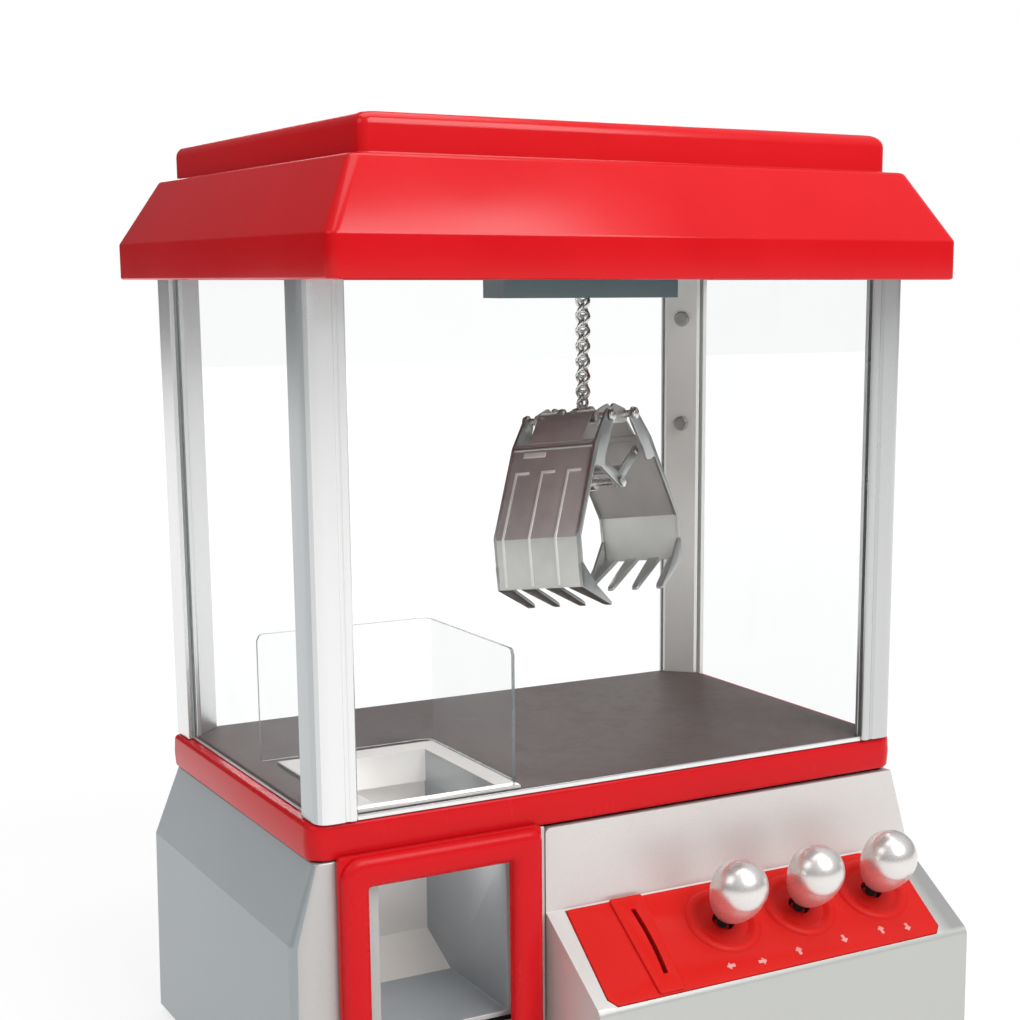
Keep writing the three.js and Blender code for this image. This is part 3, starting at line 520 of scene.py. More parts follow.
def metal(name, color, rough=0.3, brushed=(1, 1, 1), var=0.06, metallic=1.0):
    """Bare metal; brushed is the noise scale on each axis."""
    wear, scratches = 0.35, 0.4  # rubbed edges, and the depth of the brush lines
    shader = new_material(name)
    lines = shader.noise(scale=900, detail=4, rough=0.7, vector=shader.mapped(scale=brushed))
    patches = shader.noise(scale=120, detail=4)
    base = shader.mix(shader.ramp(patches, span=(0.3, 0.72)), toned(color, 1 - var * 2),
                      toned(color, 1 + var))
    base = shader.mix(shader.ramp(lines, to=(0.0, 0.18)), base, toned(color, 1.25))
    edges = shader.edges(METAL_EDGE_SPAN)
    base = shader.mix(shader.math("MULTIPLY", edges, wear), base, (0.9, 0.9, 0.88, 1))
    gloss = shader.math("ADD", shader.ramp(lines, to=(rough - 0.08, rough + 0.12)),
                        shader.ramp(patches, to=(-0.04, 0.08)))
    bumps = [(lines, 0.00003, scratches), (shader.noise(scale=2200, detail=2), 0.00002, 0.2)]
    return shader.principled(base, gloss, metallic, bumps)


def start_acrylic(name, through_color):
    """The shader, its see-through and glossy parts, and noises for smears and specks."""
    shader = new_material(name)
    through = shader.node("BsdfTransparent", {"Color": through_color})
    glossy = shader.node("BsdfPrincipled")
    smear = shader.noise(scale=35, detail=5, rough=0.65, distortion=0.6,
                         vector=shader.mapped(scale=(1, 1, 0.5)))
    specks = shader.noise(scale=1500, detail=2)
    return shader, through, glossy, smear, specks


def clear_face(name, tint, gloss):
    """Thin acrylic sheet: mostly clear, with a faint reflection, smudges and dust."""
    shader, through, glossy, smear, specks = start_acrylic(name, tint + (1,))
    shader.put((0.9, 0.93, 0.93, 1), glossy.inputs["Base Color"])
    shader.put(shader.ramp(smear, to=(0.03, 0.22), span=(0.35, 0.75)),
               glossy.inputs["Roughness"])
    fresnel = shader.node("Fresnel", {"IOR": 1.35}).outputs["Fac"]
    amount = shader.math("ADD", shader.math("MULTIPLY", fresnel, gloss),
                         shader.ramp(smear, to=(0.0, 0.02), span=(0.55, 0.85)))
    amount = shader.math("ADD", amount,
                         shader.ramp(specks, to=(0.0, 0.02), span=(0.72, 0.8)))
    return shader.finish(shader.mix_shader(amount, through, glossy))


def clear_edge(name, tint):
    """Cut edge of an acrylic sheet: tinted and nearly opaque."""
    shader, through, glossy, smear, specks = start_acrylic(name, (0.93, 0.96, 0.96, 1))
    shader.put(shader.mix(shader.ramp(specks), tint + (1,), toned(tint, 0.8)),
               glossy.inputs["Base Color"])
    shader.put(shader.ramp(smear, to=(0.15, 0.35)), glossy.inputs["Roughness"])
    amount = shader.ramp(smear, to=(0.72, 0.92), span=(0.2, 0.8))
    return shader.finish(shader.mix_shader(amount, through, glossy))


# ------------------------------------------------------------------ materials
RED = plastic("red_gloss", (0.61, 0.004, 0.008), rough=0.22, var=0.03, peel=0.16, wear=0.03,
              scuffed=0.035, spec=0.15)
RED_CANOPY = plastic("red_canopy_gloss", (0.60, 0.004, 0.008), rough=0.15, var=0.03, peel=0.06,
                     wear=0.0, scuffed=0.02, spec=0.3)
RED_PANEL = plastic("red_panel", (0.63, 0.010, 0.006), rough=0.34, var=0.03, peel=0.16,
                    grain=0.04, wear=0.03, scuffed=0.04, spec=0.12)
ARROW = plastic("arrow_pale", srgb(226, 150, 146), rough=0.4, var=0.06, peel=0.2, grain=0.1,
                wear=0.05)
# Painted shade: the console's front faces are painted darker towards the bottom, and its slope
# faces at the right end are painted grey as a painted reflection.
CONSOLE = metallic_paint(
    "console_silver_paint", srgb(220, 217, 213), metal=0.35, flake=0.4,
    shade_zones=(ShadeZone("Y", -1, srgb(181, 183, 178), along="Z", none_at=0.068, full_at=0.060),
           ShadeZone("Z", 1, srgb(158, 159, 157), along="X", none_at=0.121, full_at=0.133)))
# The base case is one silver finish in two copies: its sides take a darker one, painted shade,
# and its front faces a lit one.
SIDE_SHADED = metallic_paint("side_silver_shaded", srgb(152, 160, 164), rough=0.34, flake=0.4)
BASE_FRONT_LIT = metallic_paint("front_silver_lit", srgb(190, 188, 185), metal=0.4, flake=0.4)
SATIN = dict(flake=0.0, streak=(3, 3, 0.0004), grain=0.06)  # streaks run up the posts
# The four posts are one white satin finish in copies that paint light and shade: the front left
# post's left faces are painted grey, the front right post is painted darker, and the back right
# post is made less metallic so that it reads lighter, painted light.
POST = metallic_paint("post_satin", srgb(240, 241, 240), rough=0.24, metal=0.82, **SATIN)
POST_FRONT_LEFT = metallic_paint("post_satin_left", srgb(240, 241, 240), rough=0.24, metal=0.82,
                                 shade_zones=(ShadeZone("X", -1, srgb(176, 181, 184)),), **SATIN)
POST_FRONT_RIGHT_SHADED = metallic_paint("post_satin_right_shaded", srgb(199, 201, 200), rough=0.26,
                                  metal=0.72, **SATIN)
POST_BACK_RIGHT_LIT = metallic_paint("post_satin_back_lit", srgb(240, 239, 234), rough=0.3, metal=0.3,
                                 **SATIN)
KNOB = metallic_paint("knob_silver", srgb(230, 226, 222), rough=0.26, metal=0.78, flake=0.3)
DECK = plastic("deck_grey", srgb(80, 61, 57), rough=0.5, var=0.1, peel=0.3, grain=0.35,
               wear=0.15, spec=0.28)
DARK = plastic("dark_grey", srgb(78, 79, 81), rough=0.55, var=0.1, peel=0.3, grain=0.4)
SLATE = plastic("slate", srgb(90, 113, 118), rough=0.42, var=0.08, peel=0.3, grain=0.25,
                wear=0.3)
BLACK = plastic("black_plastic", srgb(30, 30, 31), rough=0.45, var=0.15, peel=0.3, grain=0.25,
                wear=0.12)
# Painted shade: the chute's left-facing walls and tray floor are painted darker, and the top of
# its rim is painted grey.
CHUTE = metallic_paint(
    "chute_grey", srgb(222, 218, 214), rough=0.34, metal=0.2, flake=0.1,
    left_and_floor_shade=srgb(150, 155, 159),
    shade_zones=(ShadeZone("Z", 1, srgb(186, 178, 174), along="Z", none_at=0.1270, full_at=0.1275),))
ACETAL = plastic("acetal", srgb(232, 230, 220), rough=0.4, var=0.04, peel=0.2, grain=0.1,
                 wear=0.1)
RUBBER = plastic("foot_rubber_m", srgb(34, 34, 34), rough=0.75, var=0.2, peel=0.2, grain=0.5,
                 wear=0.2)
BOARD = plastic("solder_mask", srgb(28, 94, 52), rough=0.3, coat=0.2, var=0.12, peel=0.3,
                grain=0.2, wear=0.1)
WRAP = plastic("battery_wrap_m", srgb(44, 46, 50), coat=0.2, var=0.1, peel=0.2, wear=0.1)
# The claw is one zinc finish in copies that paint light and shade: the darkest for the upper
# plates, necks and bridge (painted shade), a lighter one for the lower plates, knuckles and
# cheeks (painted light), a middle one for the flanges, gussets, teeth, stiffeners, studs and
# toggles, and the brightest for the pressed ribs and slot bars (painted highlight).
CLAW_SHADED = metal("claw_zinc_shaded", srgb(172, 164, 162), rough=0.42, brushed=(3, 3, 1), metallic=0.3)
CLAW_LIT = metal("claw_zinc_lit", srgb(215, 215, 210), rough=0.38, brushed=(2, 2, 6), var=0.05,
                   metallic=0.75)
CLAW_RIB_HIGHLIGHT = metal("claw_rib_highlight", srgb(236, 236, 232), rough=0.4, brushed=(2, 2, 6), var=0.04,
                 metallic=0.35)
SCREW = metal("screw_head", srgb(122, 119, 114), var=0.1)
CLAW_MID = metal("claw_mid", srgb(184, 187, 184), rough=0.36, brushed=(4, 4, 1), var=0.07)
STEEL = metal("bright_steel_m", srgb(214, 214, 210), rough=0.22, brushed=(8, 1, 1), var=0.05)
CHAIN = metal("chain_steel", srgb(222, 221, 218), rough=0.2, var=0.08)
CAN = metal("motor_can_m", srgb(190, 190, 186), rough=0.35, brushed=(1, 1, 10))
CLEAR = clear_face("clear_sheet", tint=(0.996, 0.998, 0.998), gloss=0.07)
GUARD = clear_face("guard_sheet", tint=(0.993, 0.994, 0.994), gloss=0.1)
GUARD_EDGE = clear_edge("clear_edge", tint=(0.2, 0.215, 0.22))
WINDOW_EDGE = clear_edge("window_edge", tint=(0.72, 0.77, 0.77))


# ------------------------------------------------------------------ pieces kept from the CAD
def polish(name, material, bevel=0.4, steps=2, angle=30, planar=True):
    """Modifiers weld a CAD mesh, merge its flat facets and round its edges."""
    ob = nodes[name]
    mesh = ob.data
    for attribute in ("custom_normal", "sharp_edge", "sharp_face"):
        if attribute in mesh.attributes:
            mesh.attributes.remove(mesh.attributes[attribute])
    for face in mesh.polygons:
        face.use_smooth = True
        face.material_index = 0
    mesh.materials.clear()
    mesh.materials.append(material)
    ob.modifiers.new("weld", "WELD").merge_threshold = 2e-6
    if planar:
        flat = ob.modifiers.new("planar", "DECIMATE")
        flat.decimate_type = "DISSOLVE"
        flat.angle_limit = math.radians(0.5)
    edge = ob.modifiers.new("round", "BEVEL")
    edge.width = bevel * 0.001
    edge.segments = steps
    edge.limit_method = "ANGLE"
    edge.angle_limit = math.radians(angle)
    edge.harden_normals = False
    edge.use_clamp_overlap = True
    weigh_normals(ob, weight=60)


polish("console_shell", CONSOLE, bevel=0.45, steps=3, angle=25, planar=False)
# each post takes its own copy of the satin: painted light and shade
for name, material in (("post_fl", POST_FRONT_LEFT), ("post_fr", POST_FRONT_RIGHT_SHADED),
                       ("post_bl", POST), ("post_br", POST_BACK_RIGHT_LIT)):
    polish(name, material, bevel=0.3, angle=35)

# material, edge rounding, names
for material, bevel, names in (
        (DARK, 0.5, "base_plate battery_door ceiling_frame"),
        (DECK, 0.4, "deck"),
        (CHUTE, 0.3, "prize_chute"),
        (SLATE, 0.5, "trolley_housing carriage_left carriage_right"),
        (STEEL, 0.25, "rail_left rail_right cross_rod_front cross_rod_back coin_lever"),
        (SCREW, 0.3, "post_screw_lower post_screw_upper"),
        (CAN, 0.4, "bridge_motor hoist_motor trolley_motor"),
        (ACETAL, 0.3, "bridge_pinion trolley_pinion winch_drum"),
        (RUBBER, 0.4, "foot_fl foot_fr foot_bl foot_br"),
        (BLACK, 0.3, "coin_chute speaker power_switch")):
    for name in names.split():
        polish(name, material, bevel=bevel)
polish("circuit_board", BOARD, bevel=0.2, steps=1)
for name in ("battery_1", "battery_2", "battery_3"):
    polish(name, WRAP, bevel=0.6)

# ------------------------------------------------------------------ canopy
CANOPY_HALF_WIDTH = 130.4
CANOPY_FRONT, CANOPY_BACK = -113.95, 124.4
CANOPY_CORNER = 4.2
# (inset from the widest outline, z): up the outside, and down the inside
canopy_outer = fillet([(0.8, 314.5), (0, 314.9), (0, 329.2), (14.5, 355.2), (20.1, 355.2),
                       (20.1, 369.4), (60, 369.4)], [0, 0.5, 2.4, 2.2, 0.9, 4.6, 0], 6)
canopy_inner = fillet([(60, 367.2), (22.2, 367.2), (22.2, 353.6), (16.0, 353.6), (1.35, 328.9),
                       (1.35, 314.9), (0.8, 314.5)], [0, 2, 1, 1, 1, 0, 0], 3)


def canopy_ring(inset, z):
    half = CANOPY_HALF_WIDTH
    corner = max(CANOPY_CORNER - max(0.0, inset - 30), 1.0)
    return [(x, y, z) for x, y in rounded_rect(
        -half + inset, half - inset, CANOPY_FRONT + inset, CANOPY_BACK - inset, corner, 8)]


build("canopy_shell", loft([canopy_ring(*row) for row in canopy_inner + canopy_outer[1:]]),
      RED_CANOPY, "cabinet", "red_plastic", ("canopy",), smooth=50)

# ------------------------------------------------------------------ lower case
CASE_BOTTOM, CASE_SHOULDER, CASE_TOP = 3.0, 81.3, 111.4
CASE_FRONT = -83.5
SHOULDER_HALF_WIDTH, TOP_HALF_WIDTH = 138.7, 129.6
SHOULDER_BACK, TOP_BACK = 81.4, 73.8
CASE_FLARE = 1.2        # how far the sides and back spread from shoulder to bottom
CASE_WALL = 2.5
CASE_OPENINGS = (       # x0, x1, y0, y1, z0, z1
    (-37.1, 150, -95, -79.2, 0, 112),           # front, right of the prize door
    (-105.4, -49.2, -95, -78.5, 36.4, 103.0),   # front, behind the prize door
    (96, 112, 70, 90, 36, 42))                  # slot in the back


def case_ring(level, grow=0, z=None):
    """Outline of the case at a level, grown outward; z places it elsewhere if given."""
    taper = max(0, (level - CASE_SHOULDER) / (CASE_TOP - CASE_SHOULDER))
    flare = max(0, CASE_FLARE * (CASE_SHOULDER - level) / (CASE_SHOULDER - CASE_BOTTOM))
    half = (SHOULDER_HALF_WIDTH + (TOP_HALF_WIDTH - SHOULDER_HALF_WIDTH) * taper
            + flare + grow)
    back = SHOULDER_BACK + (TOP_BACK - SHOULDER_BACK) * taper + flare + grow
    tighten = 0.6 if grow < 0 else 1
    radii = [radius * tighten for radius in (2.2, 2.2, 5.5 - 3.0 * taper, 2.2)]
    return [(x, y, level if z is None else z)
            for x, y in rounded_rect(-half, half, CASE_FRONT - grow, back, radii, 12)]


case = build("base_case",
             loft([case_ring(level) for level in (CASE_BOTTOM, CASE_SHOULDER, CASE_TOP)]),
             [SIDE_SHADED, BASE_FRONT_LIT], "cabinet", "side_silver", ("base_shell",), smooth=11)
hollow = loft([case_ring(CASE_BOTTOM, -CASE_WALL, CASE_BOTTOM - 1),
               case_ring(CASE_SHOULDER, -CASE_WALL),
               case_ring(CASE_TOP, -CASE_WALL, CASE_TOP + 1)])
cut(case, [hollow] + [box(*opening) for opening in CASE_OPENINGS])
soften(case, bevel=0.5, steps=2, min_angle=40, smooth=11)
# front faces take the lit copy and the other faces the shaded copy: painted shade
for face in case.data.polygons:
    face.material_index = 1 if face.normal.y < -0.8 else 0

# ------------------------------------------------------------------ belt
BELT_HALF_WIDTH = 131.4
BELT_FRONT, BELT_BACK = -84.1, 75.0
BELT_CORNERS = (4.3, 4.3, 7.0, 7.0)
# (inset, z) section
belt_section = fillet([(0.4, 111.7), (0, 118.5), (0.4, 125.3), (13.0, 125.3), (13.0, 111.7)],
                      [1.5, 0, 1.8, 0.8, 0.8], closed=True)


def belt_ring(inset, z):
    half = BELT_HALF_WIDTH
    front_inset = inset * (0.37 if inset > 6 else 1)  # the front run is narrower
    radii = [max(radius - inset * 0.4, 0.8) for radius in BELT_CORNERS]
    return [(x, y, z) for x, y in rounded_rect(
        -half + inset, half - inset, BELT_FRONT + front_inset, BELT_BACK - inset, radii, 8)]


build("belt_ring", loft([belt_ring(*row) for row in belt_section], loop=True), RED,
      "cabinet", "red_plastic", ("belt_frame",), smooth=50)


# ------------------------------------------------------------------ windows and strips
def window(name):
    x0, x1, y0, y1, z0, z1 = node_box(name)
    thin_axis = 1 if (y1 - y0) < (x1 - x0) else 0
    build(name + "_sheet", box(x0, x1, y0, y1, z0, z1), [CLEAR, WINDOW_EDGE],
          "cabinet", "clear_acrylic", (name,), bevel=0.15, steps=1,
          face_material=lambda face: 0 if abs(face.normal[thin_axis]) > 0.9 else 1)


for name in ("window_front", "window_back", "window_left", "window_right"):
    window(name)

SILL = (-112.9, 112.9, -84.0, -83.35, 125.4, 127.3)             # x0, x1, y0, y1, z0, z1
CHUTE_STRIP = (-112.4, -46.2, -81.2, -77.2, 128.22, 128.5)
build("window_sill", box(*SILL), POST, "cabinet", "post_white", bevel=0.2)
# The front of the chute rim is covered by a strip of the brighter post satin, lighter than the
# rest of the rim: painted light.
build("chute_front_strip", box(*CHUTE_STRIP), POST, "cabinet", "chute_plastic",
      bevel=0.1, steps=1)


# ------------------------------------------------------------------ chute guard
def chute_guard(thickness=1.4, bend=4.0, top_corner=2.5):
    """One bent sheet, L in plan, with rounded top corners at its free ends."""
    x0, x1, y0, y1, z0, z1 = node_box("chute_guard")
    half = thickness / 2
    mid_x, mid_y = x1 - half, y1 - half
    path = [(x0, mid_y), (mid_x - bend, mid_y)]
    for i in range(1, 8):
        angle = math.pi / 2 * (1 - i / 8)
        path.append((mid_x - bend + bend * math.cos(angle),
                     mid_y - bend + bend * math.sin(angle)))
    path += [(mid_x, mid_y - bend), (mid_x, y0)]

    # split the straight runs every mm or so, so that the top corners can be rounded
    dense = []
    for start, end in zip(path, path[1:]):
        length = math.dist(start, end)
        pieces = int(length) if length > 8 else 1
        for i in range(pieces):
            dense.append((start[0] + (end[0] - start[0]) * i / pieces,
                          start[1] + (end[1] - start[1]) * i / pieces))
    dense.append(path[-1])
    run = [0.0]
    for start, end in zip(dense, dense[1:]):
        run.append(run[-1] + math.dist(start, end))

    rings = []
    for i, (x, y) in enumerate(dense):
        before, after = dense[max(i - 1, 0)], dense[min(i + 1, len(dense) - 1)]
        side = left_normal(before, after) * half
        from_end = min(run[i], run[-1] - run[i])
        drop = 0.0
        if from_end < top_corner:
            rise = top_corner ** 2 - (top_corner - from_end) ** 2
            drop = top_corner - math.sqrt(max(0.0, rise))
        rings.append([(x - side.x, y - side.y, z0), (x + side.x, y + side.y, z0),
                      (x + side.x, y + side.y, z1 - drop), (x - side.x, y - side.y, z1 - drop)])
    guard = build("guard_sheet", loft(rings), [GUARD, GUARD_EDGE], "cabinet", "clear_acrylic",
                  ("chute_guard",), smooth=30)
    for face in guard.data.polygons:
        normal, centre = face.normal, face.center * 1000
        left_end = abs(normal.x) > 0.9 and centre.x < x0 + 0.4
        front_end = abs(normal.y) > 0.9 and centre.y < y0 + 0.4
        face.material_index = 1 if abs(normal.z) > 0.25 or left_end or front_end else 0


chute_guard()


# ------------------------------------------------------------------ prize door
def door_frame():
    x0, x1, front, back, z0, z1 = node_box("prize_door")
    square, soft = (1.6, 1.6, 1.6, 1.6), (5.5, 8.5, 8.5, 5.5)  # corner radii
    rings = []
    # outside, back to front: inset, y, corner radii
    for inset, y, radii in (
            (0.25, back, square), (0.0, back - 0.3, square), (0.0, front + 3.75, square),
            (0.2, front + 3.5, square), (0.35, front + 3.5, soft), (0.4, front + 2.6, soft),
            (0.8, front + 1.6, soft), (1.6, front + 0.8, soft), (2.8, front + 0.25, soft),
            (4.2, front, soft)):
        corners = [max(radius - inset * 0.8, 1.2) for radius in radii]
        rings.append(upright(
            rounded_rect(x0 + inset, x1 - inset, z0 + inset, z1 - inset, corners, 8), y))
    # opening, front to back: growth, y
    left, right, bottom, top = -110.8, -53.6, 24.5, 101.0
    for grow, y in ((3.4, front + 0.05), (2.0, front + 0.5), (0.9, front + 1.5),
                    (0.2, front + 2.9), (0.0, front + 3.6), (0.0, back - 1.9),
                    (3.0, back - 1.9), (3.0, back)):
        rings.append(upright(rounded_rect(left - grow, right + grow, bottom - grow, top + grow,
                                          1.2 + grow * 0.6, 8), y))
    build("door_frame", loft(rings, loop=True), RED, "door", "red_plastic", ("prize_door",),
          smooth=50)


def door_window(corner=5.0):
    x0, x1, front, back, z0, z1 = node_box("door_pane")
    build("door_window", along_y(rounded_rect(x0, x1, z0, z1, corner, 6), back, front), CLEAR,
          "door", "clear_acrylic", ("door_pane",))


door_frame()
door_window()

# ------------------------------------------------------------------ control panel
# In the panel's own frame X is across, Y runs up the slope and Z stands off the face.
PANEL = Matrix.Translation((0, -83.5, 77.0)) @ Matrix.Rotation(math.atan2(27.0, 40.8), 4, "X")
STICK_XS = (33.0, 70.0, 107.0)
STICK_Y = -20.5
STICK_HOLE_RADIUS = 4.5
PANEL_OUTLINE = [(-28.8, -1.1), (113, -1.2), (128.6, -9.0), (126.9, -44), (123.8, -47.2),
                 (-28.4, -47.2), (-31.0, -43.6)]
PANEL_CORNERS = [1.5, 6, 3, 2.5, 2.5, 2, 2]
RIB_OUTLINE = [(-10.0, -0.9), (4.7, -0.9), (1.3, -46.7), (-10.0, -46.7)]
BOSS_PROFILE = [  # (radius, z)
    (0, -1.4), (15.4, -1.4), (16.0, 0.4), (15.9, 1.0), (15.2, 1.7), (14.2, 2.1), (13.2, 2.2),
    (12.5, 2.0), (11.6, 1.5), (10.4, 0.9), (9.0, 0.55), (6.0, 0.5), (0, 0.5)]
# coin slot: x of its two upper ends, upper y, length, sideways lean and bow
SLOT_XS, SLOT_Y, SLOT_LENGTH, SLOT_LEAN, SLOT_BOW = (-3.55, -1.45), -7.6, 31.2, 1.1, 0.9


def coin_slot():
    points = []
    for x, order in zip(SLOT_XS, (range(13), range(12, -1, -1))):
        for i in order:
            along = i / 12
            points.append((x - SLOT_LEAN * along + SLOT_BOW * 4 * along * (1 - along),
                           SLOT_Y - SLOT_LENGTH * along))
    return prism(points, -6, 8)


def stick_hole(x):
    return prism(circle(STICK_HOLE_RADIUS, 40, x, STICK_Y), -5, 5)


def to_panel(ob):
    """Moves a mesh made in the panel's frame to its place."""
    for matrix in (Matrix.Scale(1000, 4), PANEL, Matrix.Scale(0.001, 4)):
        ob.data.transform(matrix)


plate = build("panel_plate", prism(fillet(PANEL_OUTLINE, PANEL_CORNERS, closed=True), -1.6, 0.9),
              RED_PANEL, "cabinet", "red_plastic", ("control_panel",), bevel=0.55, steps=3)
cut(plate, [coin_slot()] + [stick_hole(x) for x in STICK_XS])
weigh_normals(plate, weight=90)
to_panel(plate)

rib = build("coin_rib", prism(fillet(RIB_OUTLINE, 1.0, 3, closed=True), 0.5, 2.1), RED_PANEL,
            "cabinet", "red_plastic", bevel=0.7, steps=4)
cut(rib, [coin_slot()])
weigh_normals(rib, weight=90)
to_panel(rib)

for number, x in enumerate(STICK_XS, 1):
    boss = build(f"stick_boss_{number}", lathe(BOSS_PROFILE, 72), RED_PANEL, "cabinet",
                 "red_plastic", matrix=Matrix.Translation((x, STICK_Y, 0)), smooth=60)
    cut(boss, [stick_hole(x)])
    to_panel(boss)

LEFT, RIGHT, UP, DOWN = math.pi / 2, -math.pi / 2, 0, math.pi
ARROWS = ((25.1, -41.3, LEFT), (39.3, -42.4, RIGHT), (57.4, -41.4, UP),  # x, y, direction
          (80.1, -40.6, DOWN), (99.2, -40.3, UP), (111.8, -41.7, DOWN))
arrow_outline = fillet([(0, 2.0), (-1.9, 0.1), (-0.7, 0.1), (-0.7, -1.9), (0.7, -1.9),
                        (0.7, 0.1), (1.9, 0.1)], [0.3, 0.2, 0.1, 0.2, 0.2, 0.1, 0.2], 2,
                       closed=True)


def arrow(centre_x, centre_y, turn):
    cos, sin = math.cos(turn), math.sin(turn)
    return prism([(centre_x + x * cos - y * sin, centre_y + x * sin + y * cos)
                  for x, y in arrow_outline], 0.7, 1.25)


to_panel(build("direction_arrows", merge(*[arrow(*row) for row in ARROWS]), ARROW,
               "cabinet", "red_plastic", bevel=0.15))

# ------------------------------------------------------------------ joysticks
KNOB_RADIUS, KNOB_CENTRE = 11.2, 21.4
# (radius, z) profiles; the knob's dome is added to its stem
knob_profile = [(0, 5.5), (4.4, 5.5), (5.1, 5.62), (5.6, 5.95), (6.2, 6.6), (7.1, 7.8),
                (8.0, 9.2), (8.9, 10.9), (9.6, 12.5), (10.15, 14.1), (10.6, 15.7),
                (10.95, 17.4)]
for i in range(23):
    angle = -0.2 + (math.pi / 2 + 0.2) * i / 22
    knob_profile.append((KNOB_RADIUS * math.cos(angle) if i < 22 else 0.0,
                         KNOB_CENTRE + KNOB_RADIUS * math.sin(angle)))
BALL_PROFILE = [(0, -8.2), (2.6, -7.6), (3.9, -5.8), (4.2, -4.0), (3.95, -2.6), (3.3, -1.35),
                (2.5, -0.7), (0, -0.6)]
NECK_PROFILE = [(0, -1.2), (2.3, -1.1), (2.35, 0.4), (2.4, 4.4), (2.9, 5.0), (3.0, 5.7),
                (0, 5.9)]
for number, x in enumerate(STICK_XS, 1):
    place = PANEL @ Matrix.Translation((x, STICK_Y, 0))
    stick = f"stick_{number}"
    build(f"knob_{number}", lathe(knob_profile, 64), KNOB, stick, "knob_silver",
          (f"joystick_{number}",), matrix=place, smooth=60)
    build(f"stick_ball_{number}", lathe(BALL_PROFILE, 40), RED_PANEL, stick, "black_plastic",
          matrix=place, smooth=45)
    build(f"stick_neck_{number}", lathe(NECK_PROFILE, 40), BLACK, stick, "black_plastic",
          matrix=place, smooth=45)

# ------------------------------------------------------------------ chain
WIRE = 0.78                                 # wire radius
LINK_HALF_HEIGHT = 3.4 / 2 + WIRE - 0.05    # from the opening's height
LINK_BEND = 7.2 / 2 - WIRE                  # from the link's width
LINK_PITCH = 3.1
LINK_TWIST = math.radians(34)


def chain_link(centre_z, turn):
    """One twisted link round the chain's axis."""
    path = []
    for i in range(20):
        angle = 2 * math.pi * i / 20
        out = LINK_BEND * math.cos(angle)
        straight = (LINK_HALF_HEIGHT - LINK_BEND + 0.25) * (1 if math.sin(angle) > 0 else -1)
        z = math.sin(angle) * LINK_BEND + straight
        twist = LINK_TWIST * (z / (LINK_HALF_HEIGHT + 0.4)) + turn
        path.append((out * math.cos(twist), out * math.sin(twist), z + centre_z))
    return sweep(path, circle(WIRE, 8), closed=True)


def chain():
    x0, x1, y0, y1, z0, z1 = node_box("chain")
    links = []
    z = z0 + 1.6
    while z < z1 - 2.4:
        links.append(chain_link(z, (len(links) % 2) * math.pi / 2 + 0.5))
        z += LINK_PITCH
    build("chain_links", merge(*links), CHAIN, "hoist", "bright_steel", ("chain",),
          matrix=Matrix.Translation(((x0 + x1) / 2, (y0 + y1) / 2, 0)), smooth=70)


chain()

# ------------------------------------------------------------------ claw shells
# In the claw's frame the pins run along Y and each shell is drawn as (x, z) on the +X side.
CLAW = (Matrix.Translation((26.7, -8.1, 212.8))
        @ Matrix.Rotation(math.radians(35.8), 4, "Z")
        @ Matrix.Rotation(math.radians(-6.4), 4, "X")
        @ Matrix.Rotation(math.radians(1.8), 4, "Y"))
HINGE_X, HINGE_Z = 12.0, 45.5
SHELL_HALF = 18.8           # half the shell's length along Y
NECK_HALF = 12.0
SKIN = 1.1                  # sheet thickness
FOLD, LOWER_EDGE = (52.5, 0.0), (53.0, -20.0)
PIN_RADIUS = 1.55
FLANGE_OUTLINE = [(8.8, 44.2), (12.6, 49.2), (16.6, 46.4), (29.0, 35.4), (52.6, 0.6),
                  (53.0, -20.2), (50.6, -20.4), (50.3, -0.6), (31.2, 26.6), (26.4, 25.4),
                  (22.0, 25.4), (20.0, 29.8), (10.6, 41.4)]
FLANGE_CORNERS = [2.6, 2.6, 2, 2, 2, 0.4, 0.4, 1.5, 2.0, 1.6, 2.0, 2.0, 1.6]
GUSSET_OUTLINE = [(53.0, -10.6), (53.0, -20.2), (27.3, -30.7), (26.9, -29.4), (39.5, -21.0),
                  (50.6, -10.6)]
GUSSET_CORNERS = [0, 0.6, 0.5, 0.5, 2.5, 0.8]
TOOTH_ROOT = (52.9, -20.2)
TOOTH_REACH = (-26.0, -10.4)
TOOTH_STATIONS = (          # part of the reach, half width, thickness
    (0.0, 3.3, 1.5), (0.15, 3.1, 1.6), (0.45, 2.6, 1.7), (0.8, 2.0, 1.7), (0.93, 1.8, 1.5),
    (0.985, 1.5, 1.1), (1.0, 1.1, 0.7))
RIB_TOP = (34.8, 25.5)
RIB_YS = (14.6, 3.0, -8.6)
HINGE_HEAD = [(0, 0), (2.0, 0), (2.5, 0.3), (2.6, 0.9), (2.2, 1.5), (1.2, 1.8), (0, 1.85)]


def end_sheets(outline):
    """The same sheet at both Y ends of a shell."""
    return merge(along_y(outline, -SHELL_HALF - 0.05, -SHELL_HALF + 1.15),
                 along_y(outline, SHELL_HALF - 1.15, SHELL_HALF + 0.05))


def knuckle():
    """Rolled end of the neck round the hinge bar, open in the middle."""
    outer, inner = [[(HINGE_X + radius * math.cos(math.radians(angle)),
                      HINGE_Z + radius * math.sin(math.radians(angle)))
                     for angle in range(75, 320, 12)] for radius in (3.0, 1.9)]
    return merge(strip(outer, inner, -NECK_HALF, -5.0), strip(outer, inner, 5.0, NECK_HALF))


